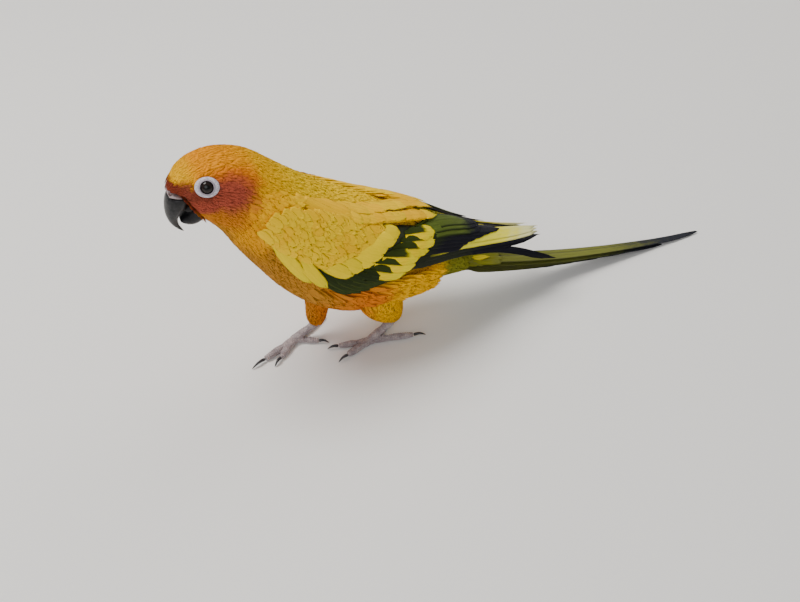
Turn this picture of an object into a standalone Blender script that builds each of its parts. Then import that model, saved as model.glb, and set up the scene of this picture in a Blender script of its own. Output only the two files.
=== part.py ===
"""A sun conure that stands on both feet, head up and long tail laid back to the floor.

The bird faces -X, its left side is -Y and the floor is z = 0. Every size below is in
millimetres and is turned to metres when a mesh is made. The body is one loft along the
line of the back; head, neck and torso are lengths of it, and the folded wings and the
scapular feathers lie on surfaces that run outside it.
"""
import math
import random

import bmesh
import bpy
import numpy as np
from mathutils import Vector

MM = 0.001
GAP = 0.3                    # clearance between pieces that touch
SEED = 5
# Degrees between faces that may be joined after a union, with the length in metres of edges
# that are closed up. The first pair that leaves the shape closed is used.
MERGES = ((1.0, 0.000002), (1.0, 0), (0.5, 0.000002), (0.5, 0), (0.2, 0), (0, 0.000002), (0, 0))

# The body: for each place along X its centre height, half width, and half height above
# and below the centre, measured square to the line of the back.
BODY = (
    (-70.5, 106.5, 2.4, 3.0, 3.0),
    (-69.0, 106.3, 4.8, 5.6, 6.0),
    (-66.5, 106.0, 7.6, 8.8, 9.4),
    (-62.5, 105.8, 11.0, 11.8, 12.8),
    (-56.0, 105.3, 13.7, 15.0, 16.0),
    (-50.0, 104.2, 15.0, 16.7, 17.2),
    (-44.0, 101.5, 16.0, 17.8, 17.8),
    (-36.0, 95.0, 17.2, 18.0, 19.5),
    (-28.0, 86.5, 19.4, 19.6, 22.5),
    (-19.0, 77.0, 21.8, 21.8, 25.5),
    (-8.0, 67.3, 23.6, 23.8, 30.0),
    (4.0, 59.0, 24.2, 24.6, 33.5),
    (17.0, 52.0, 23.2, 24.2, 34.0),
    (30.0, 46.5, 20.8, 22.4, 29.5),
    (43.0, 41.5, 16.8, 18.8, 22.0),
    (55.0, 36.8, 12.4, 13.4, 14.0),
    (66.0, 31.5, 9.6, 8.6, 8.4),
)
HEAD_BACK = -41.0            # cut between head and neck, along X
NECK_BACK = -26.0            # cut between neck and torso
TORSO_BACK = 60.0            # cut between torso and tail
BELLY_SPAN = (-38.0, 58.0)   # the length of the body that is cut from the thighs
BODY_SIDES = 32

# The folded wing lies between an under surface and a top surface. Columns as in BODY.
WING_UNDER = (
    (-44.0, 101.5, 17.9, 18.5, 18.5),
    (-36.0, 95.0, 18.5, 18.8, 20.2),
    (-28.0, 86.5, 20.3, 20.4, 23.2),
    (-19.0, 77.0, 22.5, 22.6, 26.2),
    (-8.0, 67.3, 24.3, 24.6, 30.7),
    (4.0, 59.0, 24.9, 25.4, 34.2),
    (17.0, 52.0, 24.1, 25.3, 34.7),
    (32.0, 45.8, 22.4, 23.4, 29.8),
    (48.0, 40.3, 19.0, 19.6, 20.5),
    (64.0, 35.5, 15.6, 14.6, 15.0),
    (82.0, 30.5, 13.0, 11.0, 11.0),
    (100.0, 26.0, 11.6, 9.4, 9.4),
    (124.0, 20.6, 10.8, 8.2, 8.2),
)
WING_SKIN = 1.7              # from the under surface to the top surface of the folded wing
VANE = 0.55                  # thickness of a feather vane
VANE_TIP_SHARE = 0.6         # share of that thickness at the tip
CORE_EDGE = 0.7              # thickness of the wing's core at its rim
CORE_GRID = (11, 7)
CORE_RINGS = {"head": 11, "neck": 4, "torso": 11, "tail": 4, "belly": 20}

EYE_PLACE = -56.3            # place along the body of each eye, and its angle from the back
EYE_ANGLE = 65.0
EYE_RADIUS = 3.2
EYE_SUNK = 1.5               # from the skin down to the middle of the eye
RING_LENGTH = 5.1            # half length and half height of the bare ring round the eye
RING_HEIGHT = 4.3
RING_RISE = 0.9
RING_SUNK = 0.35
LID_WIDTH = 0.5              # how far the lids reach outside the eye, and their height
LID_RISE = 1.7
LID_SUNK = 0.4

# The notch in the head that carries the bill, as (x, z): the feathers of the forehead reach
# out over its top edge, and the flat face runs from FACE_TOP down to the chin.
FACE_TOP = (-65.0, 107.0)
FACE_LOW = (-50.4, 81.0)
NOTCH_FRONT = ((-76.0, 107.9), (-76.0, 81.0))
NOTCH_HALF_WIDTH = 22.0
# The cere, a saddle over the bill's base: the upper and lower point of each rib as (x, z),
# with the rib's half width.
CERE_UPPER = ((-65.5, 106.5), (-67.9, 106.8), (-70.3, 106.4))
CERE_LOWER = ((-64.1, 103.7), (-67.0, 104.3), (-69.7, 104.8))
CERE_WIDTHS = (7.2, 6.9, 4.6)
NOSTRIL = (-68.9, 2.6, 106.3)
NOSTRIL_RADII = (0.75, 0.6, 0.9)
# The upper bill: its ridge and its biting edge as (x, z), with the half width of each rib.
CULMEN = ((-65.6, 106.2), (-70.1, 105.0), (-71.5, 102.0), (-72.2, 98.4), (-72.1, 94.5),
          (-70.9, 90.6), (-68.7, 87.3), (-65.6, 84.5))
BITE = ((-62.9, 102.4), (-62.9, 101.0), (-63.5, 98.8), (-64.9, 96.6), (-66.9, 94.5),
        (-67.6, 91.5), (-67.2, 88.2), (-65.4, 84.9))
UPPER_WIDTHS = (6.9, 6.9, 6.4, 5.3, 3.8, 2.3, 1.1, 0.35)
LOWER_TOP = ((-58.4, 99.6), (-60.6, 98.0), (-62.9, 95.7), (-65.1, 93.7), (-66.8, 91.9))
LOWER_CHIN = ((-54.6, 92.4), (-57.2, 89.6), (-60.2, 88.3), (-63.4, 88.4), (-66.3, 90.3))
LOWER_WIDTHS = (5.9, 6.2, 5.6, 4.4, 2.6)
BILL_BOXED = 0.6             # how boxed the side of a bill that bites is; 1 is round

# Scapular feathers of the left side, on the top surface of the wing: place and angle of the
# root, then of the tip, half width, and height of the tip.
SCAPULARS = (
    (-16, 30, 8, 37, 4.8, 0.9),
    (-5, 29, 20, 34, 4.9, 1.2),
    (6, 25, 33, 28, 4.9, 1.5),
    (15, 17, 45, 15, 4.4, 1.7),
    (-12, 12, 10, 13, 4.6, -0.9),
    (2, 12, 27, 13, 4.6, -0.6),
)
SCAPULAR_ROOT_LIFT = -3.4
SCAPULAR_VANE = 0.6
TIP_VARIES = 0.6             # how far the tips of the wing's vanes are moved about, by chance

# Edges of the wing's core: place along the body, and the angles of its upper and lower edge.
WING_OUTLINE = (
    (-33.5, 76.0, 94.0),
    (-31.0, 66.0, 102.0),
    (-27.0, 57.0, 109.0),
    (-20.0, 50.0, 114.0),
    (-10.0, 47.0, 115.0),
    (0.0, 44.0, 113.0),
    (10.0, 40.0, 107.0),
    (18.0, 36.0, 98.0),
    (26.0, 33.0, 88.0),
    (34.0, 32.0, 78.0),
    (40.0, 34.0, 70.0),
)
# Tiers of the folded wing, lowest first: each vane's root and tip as place and angle.
WING_TIERS = (
    {"name": "primary", "half_width": 3.3, "rows": 6, "columns": 2, "lift": (-1.0, 0.2),
     "tilt": 0.35, "settle": 0.3, "round_from": 0.8, "taper": 0.55, "bow": -7.5, "far_turn": 0.0,
     "vanes": ((9, 94, 97, 92), (11, 90, 109, 90), (13, 86, 119, 88))},
    {"name": "inner_primary", "half_width": 3.3, "rows": 6, "columns": 2, "lift": (-1.0, 0.4),
     "tilt": 0.35, "settle": 0.3, "round_from": 0.8, "taper": 0.55, "bow": 0.0, "far_turn": 42.0,
     "vanes": ((15, 82, 106, 27), (17, 76, 111, 20), (19, 71, 116, 11), (21, 66, 110, 5))},
    {"name": "secondary", "half_width": 3.6, "rows": 5, "columns": 2, "lift": (-1.0, 0.8),
     "tilt": 0.4, "settle": 0.3, "round_from": 0.75, "taper": 0.8, "bow": 0.0, "far_turn": 34.0,
     "vanes": ((22, 60, 58, 50), (24, 53, 68, 37), (26, 47, 78, 22), (28, 41, 86, 8))},
    {"name": "tertial", "half_width": 3.8, "rows": 4, "columns": 2, "lift": (-1.0, 1.0),
     "tilt": 0.4, "settle": 0.35, "round_from": 0.7, "taper": 0.9, "bow": 0.0, "far_turn": 34.0,
     "vanes": ((28, 44, 74, 12), (30, 37, 72, -1))},
    {"name": "primary_covert", "half_width": 2.7, "rows": 3, "columns": 2, "lift": (-0.9, 0.7),
     "tilt": 0.3, "settle": 0.5, "round_from": 0.65, "taper": 0.9, "bow": 0.0, "far_turn": 0.0,
     "vanes": ((-16, 104, 6, 110), (-12, 100, 13, 103), (-7, 95, 19, 95), (-2, 90, 24, 86))},
    {"name": "greater_covert", "half_width": 3.5, "rows": 4, "columns": 2, "lift": (-0.9, 1.2),
     "tilt": 0.35, "settle": 0.6, "round_from": 0.6, "taper": 0.95, "bow": 0.0, "far_turn": 0.0,
     "vanes": ((6, 84, 28, 78), (10, 76, 32, 70), (14, 67, 35, 62), (18, 59, 38, 53),
               (22, 50, 41, 44))},
    {"name": "alula", "half_width": 3.0, "rows": 3, "columns": 2, "lift": (-0.9, 1.1),
     "tilt": 0.3, "settle": 0.6, "round_from": 0.6, "taper": 0.9, "bow": 0.0, "far_turn": 0.0,
     "vanes": ((-28, 103, -14, 113), (-24, 98, -6, 112), (-20, 94, 2, 106))},
    {"name": "median_covert", "half_width": 3.6, "rows": 3, "columns": 2, "lift": (-0.9, 1.8),
     "tilt": 0.3, "settle": 0.7, "round_from": 0.5, "taper": 0.95, "bow": 0.0, "far_turn": 0.0,
     "vanes": ((-12, 91, 8, 90), (-7, 82, 13, 80), (-3, 72, 17, 70), (2, 62, 21, 60),
               (7, 52, 25, 49))},
)

# The tail: its underside by place and height, and the tips of its pairs from the middle out.
TAIL_LINE = (
    (56.0, 33.2), (75.0, 26.6), (100.0, 19.0), (125.0, 12.6), (150.0, 7.6),
    (175.0, 3.6), (195.0, 1.0), (208.0, 0.0), (222.0, 0.0),
)
TAIL_TIPS = (217.0, 193.0, 172.0, 153.0, 137.0, 124.0)
TAIL_VANE = 0.7
TAIL_STEP = 1.0              # from one pair down to the next
TAIL_ROOT_STEP = 0.45        # share of that step at the roots
TAIL_WIDTH = 3.9             # half width of a tail feather at its root
TAIL_TAPER = 0.42
TAIL_CROSS = 0.8             # how far each middle feather reaches over the middle line
TAIL_ROOT = 63.0
TAIL_STUMP_END = 76.0
TAIL_SPREAD = 0.3            # how much farther out each pair stands than the pair above it
# Rows of tail coverts: root, length, spacing, count, and the height of root and tip.
TAIL_COVERTS = ((66.0, 26.0, 4.0, 3, 1.6, 1.4), (63.0, 18.0, 4.2, 4, 1.4, 0.8))
TAIL_COVERT_STEP = 1.5       # how much shorter each covert is than its neighbour inside

# Thighs and shanks, each a middle line with its radii.
LEFT_THIGH = ((15, -10, 40), (19, -11, 28), (23, -11, 20.5), (25.6, -10.7, 15.5),
              (26, -10.5, 13.8), (26, -10.5, 12.4))
LEFT_THIGH_RADII = (9.5, 10.5, 8.4, 5.4, 4.4, 3.4)
RIGHT_THIGH = ((-1, 9, 42), (-4, 7.5, 30), (-6.8, 5.6, 20), (-8, 5, 13.5), (-8.2, 5, 11.2),
               (-8.2, 5, 9.8))
RIGHT_THIGH_RADII = (9.5, 9.0, 5.8, 4.8, 4.2, 3.4)
LEFT_TARSUS = ((26, -10.5, 12.1), (26, -10.5, 11.3), (25, -10.5, 9.9), (21, -10.8, 7.2),
               (16.6, -11, 4.6), (14, -11, 2.4))
RIGHT_TARSUS = ((-8.2, 5, 9.5), (-8.2, 5, 8.9), (-9.4, 5, 7.8), (-12.6, 5, 6.0), (-16.6, 5, 4.2),
                (-19.5, 5, 2.4))
TARSUS_RADII = (2.6, 2.7, 2.3, 1.9, 2.0, 2.2)
THIGH_PLAY = GAP + 0.1       # between the thighs and the belly
SOLE_RADII = (3.0, 2.9, 1.9)
SOLE_HEIGHT = 2.0
# Toes and claws as rows along their length: share of the length, thickness and height.
TOE_JOINTS = ((0.0, 1.1, 0.95), (0.2, 1.1, 0.9), (0.42, 0.88, 1.0), (0.62, 1.05, 0.9),
              (0.84, 0.9, 0.95), (1.0, 0.68, 1.3))
CLAW_CURVE = ((0.0, 1.0, 1.55), (0.25, 0.95, 2.0), (0.5, 0.8, 2.05), (0.75, 0.55, 1.5),
              (1.0, 0.2, 0.5))
# Each toe: where it ends on the floor, its radius and the length of its claw.
LEFT_TOES = (((0.2, -16.0), 1.9, 6.0), ((-1.6, -8.2), 1.7, 5.6), ((35.0, -15.6), 1.8, 6.4),
             ((24.5, -5.5), 1.6, 5.0))
RIGHT_TOES = (((-37.5, -2.4), 1.9, 8.4), ((-30.5, -4.6), 1.7, 5.6), ((-5.0, 13.0), 1.8, 6.2),
              ((-9.5, -0.5), 1.6, 5.0))


def hermite(table, place):
    """Values of a table of rows at a place given in the first column, smoothly joined."""
    rows = np.array(table, float)
    places = rows[:, 0]
    slopes = np.gradient(rows, places, axis=0)
    first = int(np.clip(np.searchsorted(places, place) - 1, 0, len(places) - 2))
    span = places[first + 1] - places[first]
    q = min(max((place - places[first]) / span, 0.0), 1.3)
    start = rows[first] * (2 * q**3 - 3 * q**2 + 1) + slopes[first] * span * (q**3 - 2 * q**2 + q)
    end = rows[first + 1] * (3 * q**2 - 2 * q**3) + slopes[first + 1] * span * (q**3 - q**2)
    return start + end


def mix(a, b, share):
    return a + (b - a) * share


def smoothstep(value):
    value = min(max(value, 0.0), 1.0)
    return value * value * (3 - 2 * value)


def loft_point(table, place, angle, grow=0.0):
    """Point on a loft; angle 0 is the back, 90 the left side and 180 the belly."""
    row = hermite(table, place)
    step = 0.5
    rise = hermite(table, place + step)[1] - hermite(table, place - step)[1]
    along = Vector((2 * step, 0.0, rise)).normalized()
    up = Vector((-along.z, 0.0, along.x))
    turn = math.radians(angle)
    high = (row[3] if math.cos(turn) > 0 else row[4]) + grow
    return Vector((place, -(row[2] + grow) * math.sin(turn), row[1])) + up * (high * math.cos(turn))


def loft_normal(table, place, angle):
    along = loft_point(table, place + 0.5, angle) - loft_point(table, place - 0.5, angle)
    around = loft_point(table, place, angle + 1.0) - loft_point(table, place, angle - 1.0)
    return along.cross(around).normalized()


def material(name, colour, roughness, metallic=0.0):
    made = bpy.data.materials.new(name)
    made.use_nodes = True
    shader = made.node_tree.nodes["Principled BSDF"]
    shader.inputs["Base Color"].default_value = (*colour, 1.0)
    shader.inputs["Roughness"].default_value = roughness
    shader.inputs["Metallic"].default_value = metallic
    made.diffuse_color = (*colour, 1.0)
    return made


def make_object(name, points, faces, finish):
    mesh = bpy.data.meshes.new(name)
    mesh.from_pydata([tuple(Vector(p) * MM) for p in points], [], faces)
    mesh.validate()
    mesh.materials.append(finish)
    made = bpy.data.objects.new(name, mesh)
    bpy.context.scene.collection.objects.link(made)
    return made


def skin_rings(rings):
    """Points and faces of a closed surface through rings, with a point at either end."""
    sides = len(rings[0])
    points = [p for ring in rings for p in ring]
    faces = []
    for r in range(len(rings) - 1):
        for k in range(sides):
            a = r * sides + k
            b = r * sides + (k + 1) % sides
            faces.append((a, b, b + sides))
            faces.append((a, b + sides, a + sides))
    for ring, first in ((rings[0], 0), (rings[-1], (len(rings) - 1) * sides)):
        centre = sum((Vector(p) for p in ring), Vector()) / sides
        points.append(centre)
        hub = len(points) - 1
        for k in range(sides):
            a, b = first + k, first + (k + 1) % sides
            faces.append((a, hub, b) if first == 0 else (a, b, hub))
    return points, faces


def face_out(made):
    shape = bmesh.new()
    shape.from_mesh(made.data)
    bmesh.ops.recalc_face_normals(shape, faces=shape.faces)
    if shape.calc_volume(signed=True) < 0:
        bmesh.ops.reverse_faces(shape, faces=shape.faces)
    shape.to_mesh(made.data)
    shape.free()
    return made


def ring_solid(name, rings, finish):
    points, faces = skin_rings(rings)
    return face_out(make_object(name, points, faces, finish))


def tube(name, path, radii, sides, finish):
    """A round limb along a path."""
    path = [Vector(p) for p in path]
    rings = []
    for i, centre in enumerate(path):
        along = (path[min(i + 1, len(path) - 1)] - path[max(i - 1, 0)]).normalized()
        across = along.cross(Vector((0, 0, 1)))
        across = across.normalized() if across.length > 0.05 else Vector((0, 1, 0))
        up = across.cross(along).normalized()
        ring = []
        for k in range(sides):
            turn = 2 * math.pi * (k + 0.5) / sides
            ring.append(centre + (across * math.cos(turn) + up * math.sin(turn)) * radii[i])
        rings.append(ring)
    return ring_solid(name, rings, finish)


def ball(name, centre, radii, finish, across=16, rows=10, facing=(0, 0, 1)):
    """An ellipsoid whose third radius points along facing."""
    axis = Vector(facing).normalized()
    side = axis.cross(Vector((0.0, 0.0, 1.0)))
    side = side.normalized() if side.length > 0.05 else Vector((1, 0, 0))
    up = side.cross(axis).normalized()
    rings = []
    for r in range(1, rows):
        polar = math.pi * r / rows
        ring = []
        for k in range(across):
            turn = 2 * math.pi * k / across
            ring.append(Vector(centre) + side * (radii[0] * math.sin(polar) * math.cos(turn))
                        + up * (radii[1] * math.sin(polar) * math.sin(turn))
                        + axis * (radii[2] * math.cos(polar)))
        rings.append(ring)
    return ring_solid(name, rings, finish)


def box(name, low, high, finish):
    points = [(x, y, z) for x in (low[0], high[0]) for y in (low[1], high[1])
              for z in (low[2], high[2])]
    faces = [(0, 1, 3, 2), (4, 6, 7, 5), (0, 4, 5, 1), (2, 3, 7, 6), (0, 2, 6, 4), (1, 5, 7, 3)]
    return face_out(make_object(name, points, faces, finish))


def bake_modifiers(made):
    scene = bpy.context.evaluated_depsgraph_get()
    mesh = bpy.data.meshes.new_from_object(made.evaluated_get(scene))
    made.modifiers.clear()
    made.data = mesh


def merged_shape(made):
    """The shape with its flat faces joined and slivers cleared, as far as it stays closed."""
    for angle, sliver in MERGES:
        shape = bmesh.new()
        shape.from_mesh(made.data)
        if angle:
            bmesh.ops.dissolve_limit(shape, angle_limit=math.radians(angle), verts=shape.verts,
                                     edges=shape.edges)
        if sliver:
            bmesh.ops.dissolve_degenerate(shape, dist=sliver, edges=shape.edges)
        bmesh.ops.triangulate(shape, faces=shape.faces)
        closed = all(edge.is_manifold for edge in shape.edges)
        if closed:
            return shape
        shape.free()
    raise RuntimeError(made.name + " isn't closed")


def keep_largest(made):
    """Keep only the closed surface with the largest volume."""
    shape = merged_shape(made)
    left = set(shape.faces)
    groups = []
    while left:
        start = left.pop()
        group = [start]
        queue = [start]
        while queue:
            face = queue.pop()
            for edge in face.edges:
                for other in edge.link_faces:
                    if other in left:
                        left.remove(other)
                        group.append(other)
                        queue.append(other)
        size = sum(f.verts[0].co.dot(f.verts[1].co.cross(f.verts[2].co)) for f in group) / 6
        groups.append((abs(size), group))
    groups.sort(key=lambda entry: entry[0])
    loose = [face for size, group in groups[:-1] for face in group]
    bmesh.ops.delete(shape, geom=loose, context="FACES")
    shape.to_mesh(made.data)
    shape.free()


def combine(base, pieces, operation="UNION", solver="EXACT"):
    """Join pieces to the base, or cut them from it, and remove them."""
    group = bpy.data.collections.new(base.name + "_pieces")
    bpy.context.scene.collection.children.link(group)
    for piece in pieces:
        bpy.context.scene.collection.objects.unlink(piece)
        group.objects.link(piece)
    joint = base.modifiers.new("joined", "BOOLEAN")
    joint.operation = operation
    joint.operand_type = "COLLECTION"
    joint.collection = group
    joint.solver = solver
    bake_modifiers(base)
    for piece in pieces:
        mesh = piece.data
        bpy.data.objects.remove(piece)
        bpy.data.meshes.remove(mesh)
    bpy.data.collections.remove(group)
    keep_largest(base)
    return base


def body_length(name, start, end, finish, first_gap=0.0, last_gap=0.0, grow=0.0):
    """A length of the body loft between two cuts square to the back line."""
    made = []
    rings = CORE_RINGS[name]
    for r in range(rings + 1):
        place = mix(start, end, r / rings)
        ring = [loft_point(BODY, place, 360 * k / BODY_SIDES, grow) for k in range(BODY_SIDES)]
        made.append(ring)
    for ring, gap, other in ((made[0], first_gap, made[1]), (made[-1], last_gap, made[-2])):
        centre = sum(ring, Vector()) / BODY_SIDES
        inward = (sum(other, Vector()) / BODY_SIDES - centre).normalized()
        for point in ring:
            point += inward * gap
    return ring_solid(name, made, finish)


def vane_mesh(name, place_at, root, tip, half_width, finish, rows=5, columns=3, lift=(-0.8, 0.2),
              tilt=0.4, bow=0.0, thick=VANE, round_from=0.72, neck=0.45, settle=0.3, point=0.12,
              taper=1.0):
    """One feather vane that lies on a surface.

    place_at(s, t, high) gives a point of the surface, raised by high. The vane runs from
    root to tip, given as (s, t), and its half width is in millimetres. Both faces are
    split alike, so that they never cross.
    """
    root_at = Vector(root)
    tip_at = Vector(tip)
    tops = []
    bottoms = []
    for r in range(rows + 1):
        share = r / rows
        here = root_at.lerp(tip_at, share)
        ahead = (tip_at - root_at) * 0.02
        run = place_at(*(here + ahead), 0) - place_at(*(here - ahead), 0)
        step_s = (place_at(here[0] + 0.5, here[1], 0) - place_at(here[0] - 0.5, here[1], 0))
        step_t = (place_at(here[0], here[1] + 0.5, 0) - place_at(here[0], here[1] - 0.5, 0))
        normal = step_s.cross(step_t).normalized()
        across = normal.cross(run.normalized()).normalized()
        if across.dot(step_t) < 0:
            across = -across
        widen = mix(neck, 1.0, smoothstep(share / 0.3)) * mix(1.0, taper, share)
        if share > round_from:
            fall = (share - round_from) / (1 - round_from)
            widen *= mix(math.sqrt(max(1 - fall * fall, 0.0)), 1.0, point)
        rise = mix(lift[0], lift[1], smoothstep(share / settle) if settle else 1.0)
        sway = bow * math.sin(math.pi * share)
        top_row = []
        bottom_row = []
        for c in range(columns):
            q = 2 * c / (columns - 1) - 1
            shift = q * half_width * widen + sway
            ds, dt = solve_shift(step_s, step_t, across * shift)
            high = rise + tilt * q * widen
            thin = mix(1.0, VANE_TIP_SHARE, max(share - 0.8, 0) / 0.2)
            bottom_row.append(place_at(here[0] + ds, here[1] + dt, high))
            top_row.append(place_at(here[0] + ds, here[1] + dt, high + thick * thin))
        tops.append(top_row)
        bottoms.append(bottom_row)
    return sheet_solid(name, tops, bottoms, finish)


def solve_shift(step_s, step_t, move):
    """How far s and t change for a move in the surface."""
    ss, st, tt = step_s.dot(step_s), step_s.dot(step_t), step_t.dot(step_t)
    ms, mt = move.dot(step_s), move.dot(step_t)
    whole = ss * tt - st * st
    return (ms * tt - mt * st) / whole, (mt * ss - ms * st) / whole


def sheet_solid(name, tops, bottoms, finish):
    """A closed thin solid between two grids of points that are split alike."""
    rows, columns = len(tops), len(tops[0])
    points = [p for row in tops for p in row] + [p for row in bottoms for p in row]
    below = rows * columns
    faces = []
    for r in range(rows - 1):
        for c in range(columns - 1):
            a = r * columns + c
            b = a + 1
            d = a + columns
            e = d + 1
            faces += [(a, b, e), (a, e, d)]
            faces += [(a + below, e + below, b + below), (a + below, d + below, e + below)]
    rim = [r * columns for r in range(rows)]
    rim += [(rows - 1) * columns + c for c in range(1, columns)]
    rim += [r * columns + columns - 1 for r in range(rows - 2, -1, -1)]
    rim += [c for c in range(columns - 2, 0, -1)]
    for i, a in enumerate(rim):
        b = rim[(i + 1) % len(rim)]
        faces += [(a, b, b + below), (a, b + below, a + below)]
    return face_out(make_object(name, points, faces, finish))


def prism(name, outline, half_width, finish):
    """An outline in x and z, carried across to either side."""
    count = len(outline)
    points = [(x, y, z) for y in (-half_width, half_width) for x, z in outline]
    faces = [tuple(range(count)), tuple(range(2 * count - 1, count - 1, -1))]
    for i in range(count):
        j = (i + 1) % count
        faces.append((i, j, j + count, i + count))
    return face_out(make_object(name, points, faces, finish))


def rib_solid(name, outer, inner, half_widths, finish, sides=16, boxed=1.0):
    """A beak-like solid through ribs, each set between a point of its outer and inner line."""
    rings = []
    for (ox, oz), (ix, iz), wide in zip(outer, inner, half_widths):
        centre = Vector(((ox + ix) / 2, 0.0, (oz + iz) / 2))
        deep = Vector(((ox - ix) / 2, 0.0, (oz - iz) / 2))
        ring = []
        for k in range(sides):
            out = math.cos(2 * math.pi * k / sides)
            aside = math.sin(2 * math.pi * k / sides)
            if out < 0:
                out = math.copysign(abs(out) ** boxed, out)
                aside = math.copysign(abs(aside) ** boxed, aside)
            ring.append(centre + deep * out + Vector((0, wide * aside, 0)))
        rings.append(ring)
    return ring_solid(name, rings, finish)


def eye_frame(side):
    """Place on the skin where an eye looks out, and the way it faces."""
    spot = loft_point(BODY, EYE_PLACE, EYE_ANGLE * side)
    facing = loft_normal(BODY, EYE_PLACE, EYE_ANGLE * side)
    if facing.y * side > 0:
        facing = -facing
    return spot, facing


def build_head(finish):
    head = body_length("head", BODY[0][0], HEAD_BACK, finish, last_gap=GAP / 2)
    notch = prism("notch", (FACE_TOP, FACE_LOW) + NOTCH_FRONT[::-1], NOTCH_HALF_WIDTH, finish)
    combine(head, [notch], "DIFFERENCE")
    rings = []
    sockets = []
    for side in (1, -1):
        spot, facing = eye_frame(side)
        rings.append(ball("ring", spot - facing * RING_SUNK,
                          (RING_LENGTH, RING_HEIGHT, RING_RISE + RING_SUNK),
                          finish, across=16, rows=4, facing=facing))
        lid = EYE_RADIUS + LID_WIDTH
        rings.append(ball("lid", spot - facing * LID_SUNK, (lid, lid, LID_RISE), finish,
                          across=12, rows=4, facing=facing))
        sockets.append(ball("socket", spot - facing * EYE_SUNK, (EYE_RADIUS + GAP,) * 3, finish,
                            across=12, rows=8, facing=facing))
    combine(head, rings)
    sockets.append(lower_bill("mouth", GAP, finish))
    combine(head, sockets, "DIFFERENCE")
    return head


def build_eyes(finish):
    for side, name in ((1, "eye_left"), (-1, "eye_right")):
        spot, facing = eye_frame(side)
        ball(name, spot - facing * EYE_SUNK, (EYE_RADIUS,) * 3, finish, across=12, rows=8,
             facing=facing)


def lower_bill(name, grow, finish):
    """The lower bill, or the room it takes in the head."""
    top = [(x, z + grow) for x, z in LOWER_TOP]
    chin = [(x, z - grow) for x, z in LOWER_CHIN]
    if grow:
        top[0] = (top[0][0] + grow, top[0][1])
        chin[0] = (chin[0][0] + grow, chin[0][1])
    return rib_solid(name, top, chin, [wide + grow for wide in LOWER_WIDTHS], finish)


def cere_saddle(name, grow, finish):
    """The cere, or the room it takes in the upper bill."""
    upper = [(x, z + grow) for x, z in CERE_UPPER]
    lower = [(x, z - grow) for x, z in CERE_LOWER]
    if grow:
        upper[0] = (upper[0][0] + 2 * grow, upper[0][1])
        lower[0] = (lower[0][0] + 2 * grow, lower[0][1])
        upper[-1] = (upper[-1][0] - grow, upper[-1][1])
        lower[-1] = (lower[-1][0] - grow, lower[-1][1])
    return rib_solid(name, upper, lower, [wide + grow for wide in CERE_WIDTHS], finish)


def build_bill(horn, flesh):
    """The hooked upper bill, the cere over its base, and the lower bill under the hook."""
    upper = rib_solid("bill_upper", CULMEN, BITE, UPPER_WIDTHS, horn, boxed=BILL_BOXED)
    combine(upper, [cere_saddle("seat", GAP, horn)], "DIFFERENCE")
    cere = cere_saddle("cere", 0.0, flesh)
    nostrils = [ball("nostril", (NOSTRIL[0], NOSTRIL[1] * side, NOSTRIL[2]), NOSTRIL_RADII, flesh,
                     across=8, rows=6, facing=(0, 1, 0)) for side in (1, -1)]
    combine(cere, nostrils, "DIFFERENCE")
    lower_bill("bill_lower", 0.0, horn)


def folded_place(side):
    def place(s, t, high):
        return loft_point(WING_UNDER, s, t * side, WING_SKIN + high)
    return place


def build_torso(finish):
    torso = body_length("torso", NECK_BACK, TORSO_BACK, finish, GAP / 2, GAP / 2)
    feathers = []
    for side in (1, -1):
        for root_s, root_t, tip_s, tip_t, half_width, rise in SCAPULARS:
            feathers.append(vane_mesh("scapular", folded_place(side), (root_s, root_t),
                                      (tip_s, tip_t), half_width, finish, rows=4, tilt=0.25,
                                      lift=(SCAPULAR_ROOT_LIFT, rise), settle=0.62, neck=0.7,
                                      thick=SCAPULAR_VANE))
    return combine(torso, feathers)


def wing_core(name, side, finish):
    """The arm and hand of the folded wing, thin at its edges."""
    place = folded_place(side)
    tops, bottoms = [], []
    rows, columns = CORE_GRID
    for r in range(rows):
        s = mix(WING_OUTLINE[0][0], WING_OUTLINE[-1][0], r / (rows - 1))
        edge = hermite(WING_OUTLINE, s)
        top, bottom = [], []
        for c in range(columns):
            share = c / (columns - 1)
            t = mix(edge[1], edge[2], share)
            inside = min(share, 1 - share) * (columns - 1) / 2
            ends = min(r, rows - 1 - r) / 2
            full = smoothstep(min(inside, ends, 1.0))
            top.append(place(s, t, mix(CORE_EDGE - WING_SKIN, 0.0, full)))
            bottom.append(place(s, t, -WING_SKIN))
        tops.append(top)
        bottoms.append(bottom)
    return sheet_solid(name, tops, bottoms, finish)


def build_wing(name, side, finish):
    """A folded wing: its core, flight feathers, then the tiers of coverts over them."""
    draw = random.Random(SEED + (0 if side > 0 else 1))
    place = folded_place(side)
    core = wing_core(name, side, finish)
    feathers = []
    for tier in WING_TIERS:
        for i, (root_s, root_t, tip_s, tip_t) in enumerate(tier["vanes"]):
            tip_turn = 0.0 if side > 0 else tier["far_turn"]
            wobble = draw.uniform(-TIP_VARIES, TIP_VARIES)
            feathers.append(vane_mesh(
                tier["name"], place, (root_s, root_t), (tip_s + wobble, tip_t + tip_turn),
                tier["half_width"], finish, rows=tier["rows"], columns=tier["columns"],
                lift=tier["lift"], tilt=tier["tilt"], settle=tier["settle"],
                round_from=tier["round_from"], taper=tier["taper"], bow=tier["bow"]))
    return combine(core, feathers, solver="MANIFOLD")


def tail_place(s, t, high):
    """Point over the tail, by its place along X, its place across and its height."""
    return Vector((s, t, hermite(TAIL_LINE, s)[1] + high))


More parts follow.
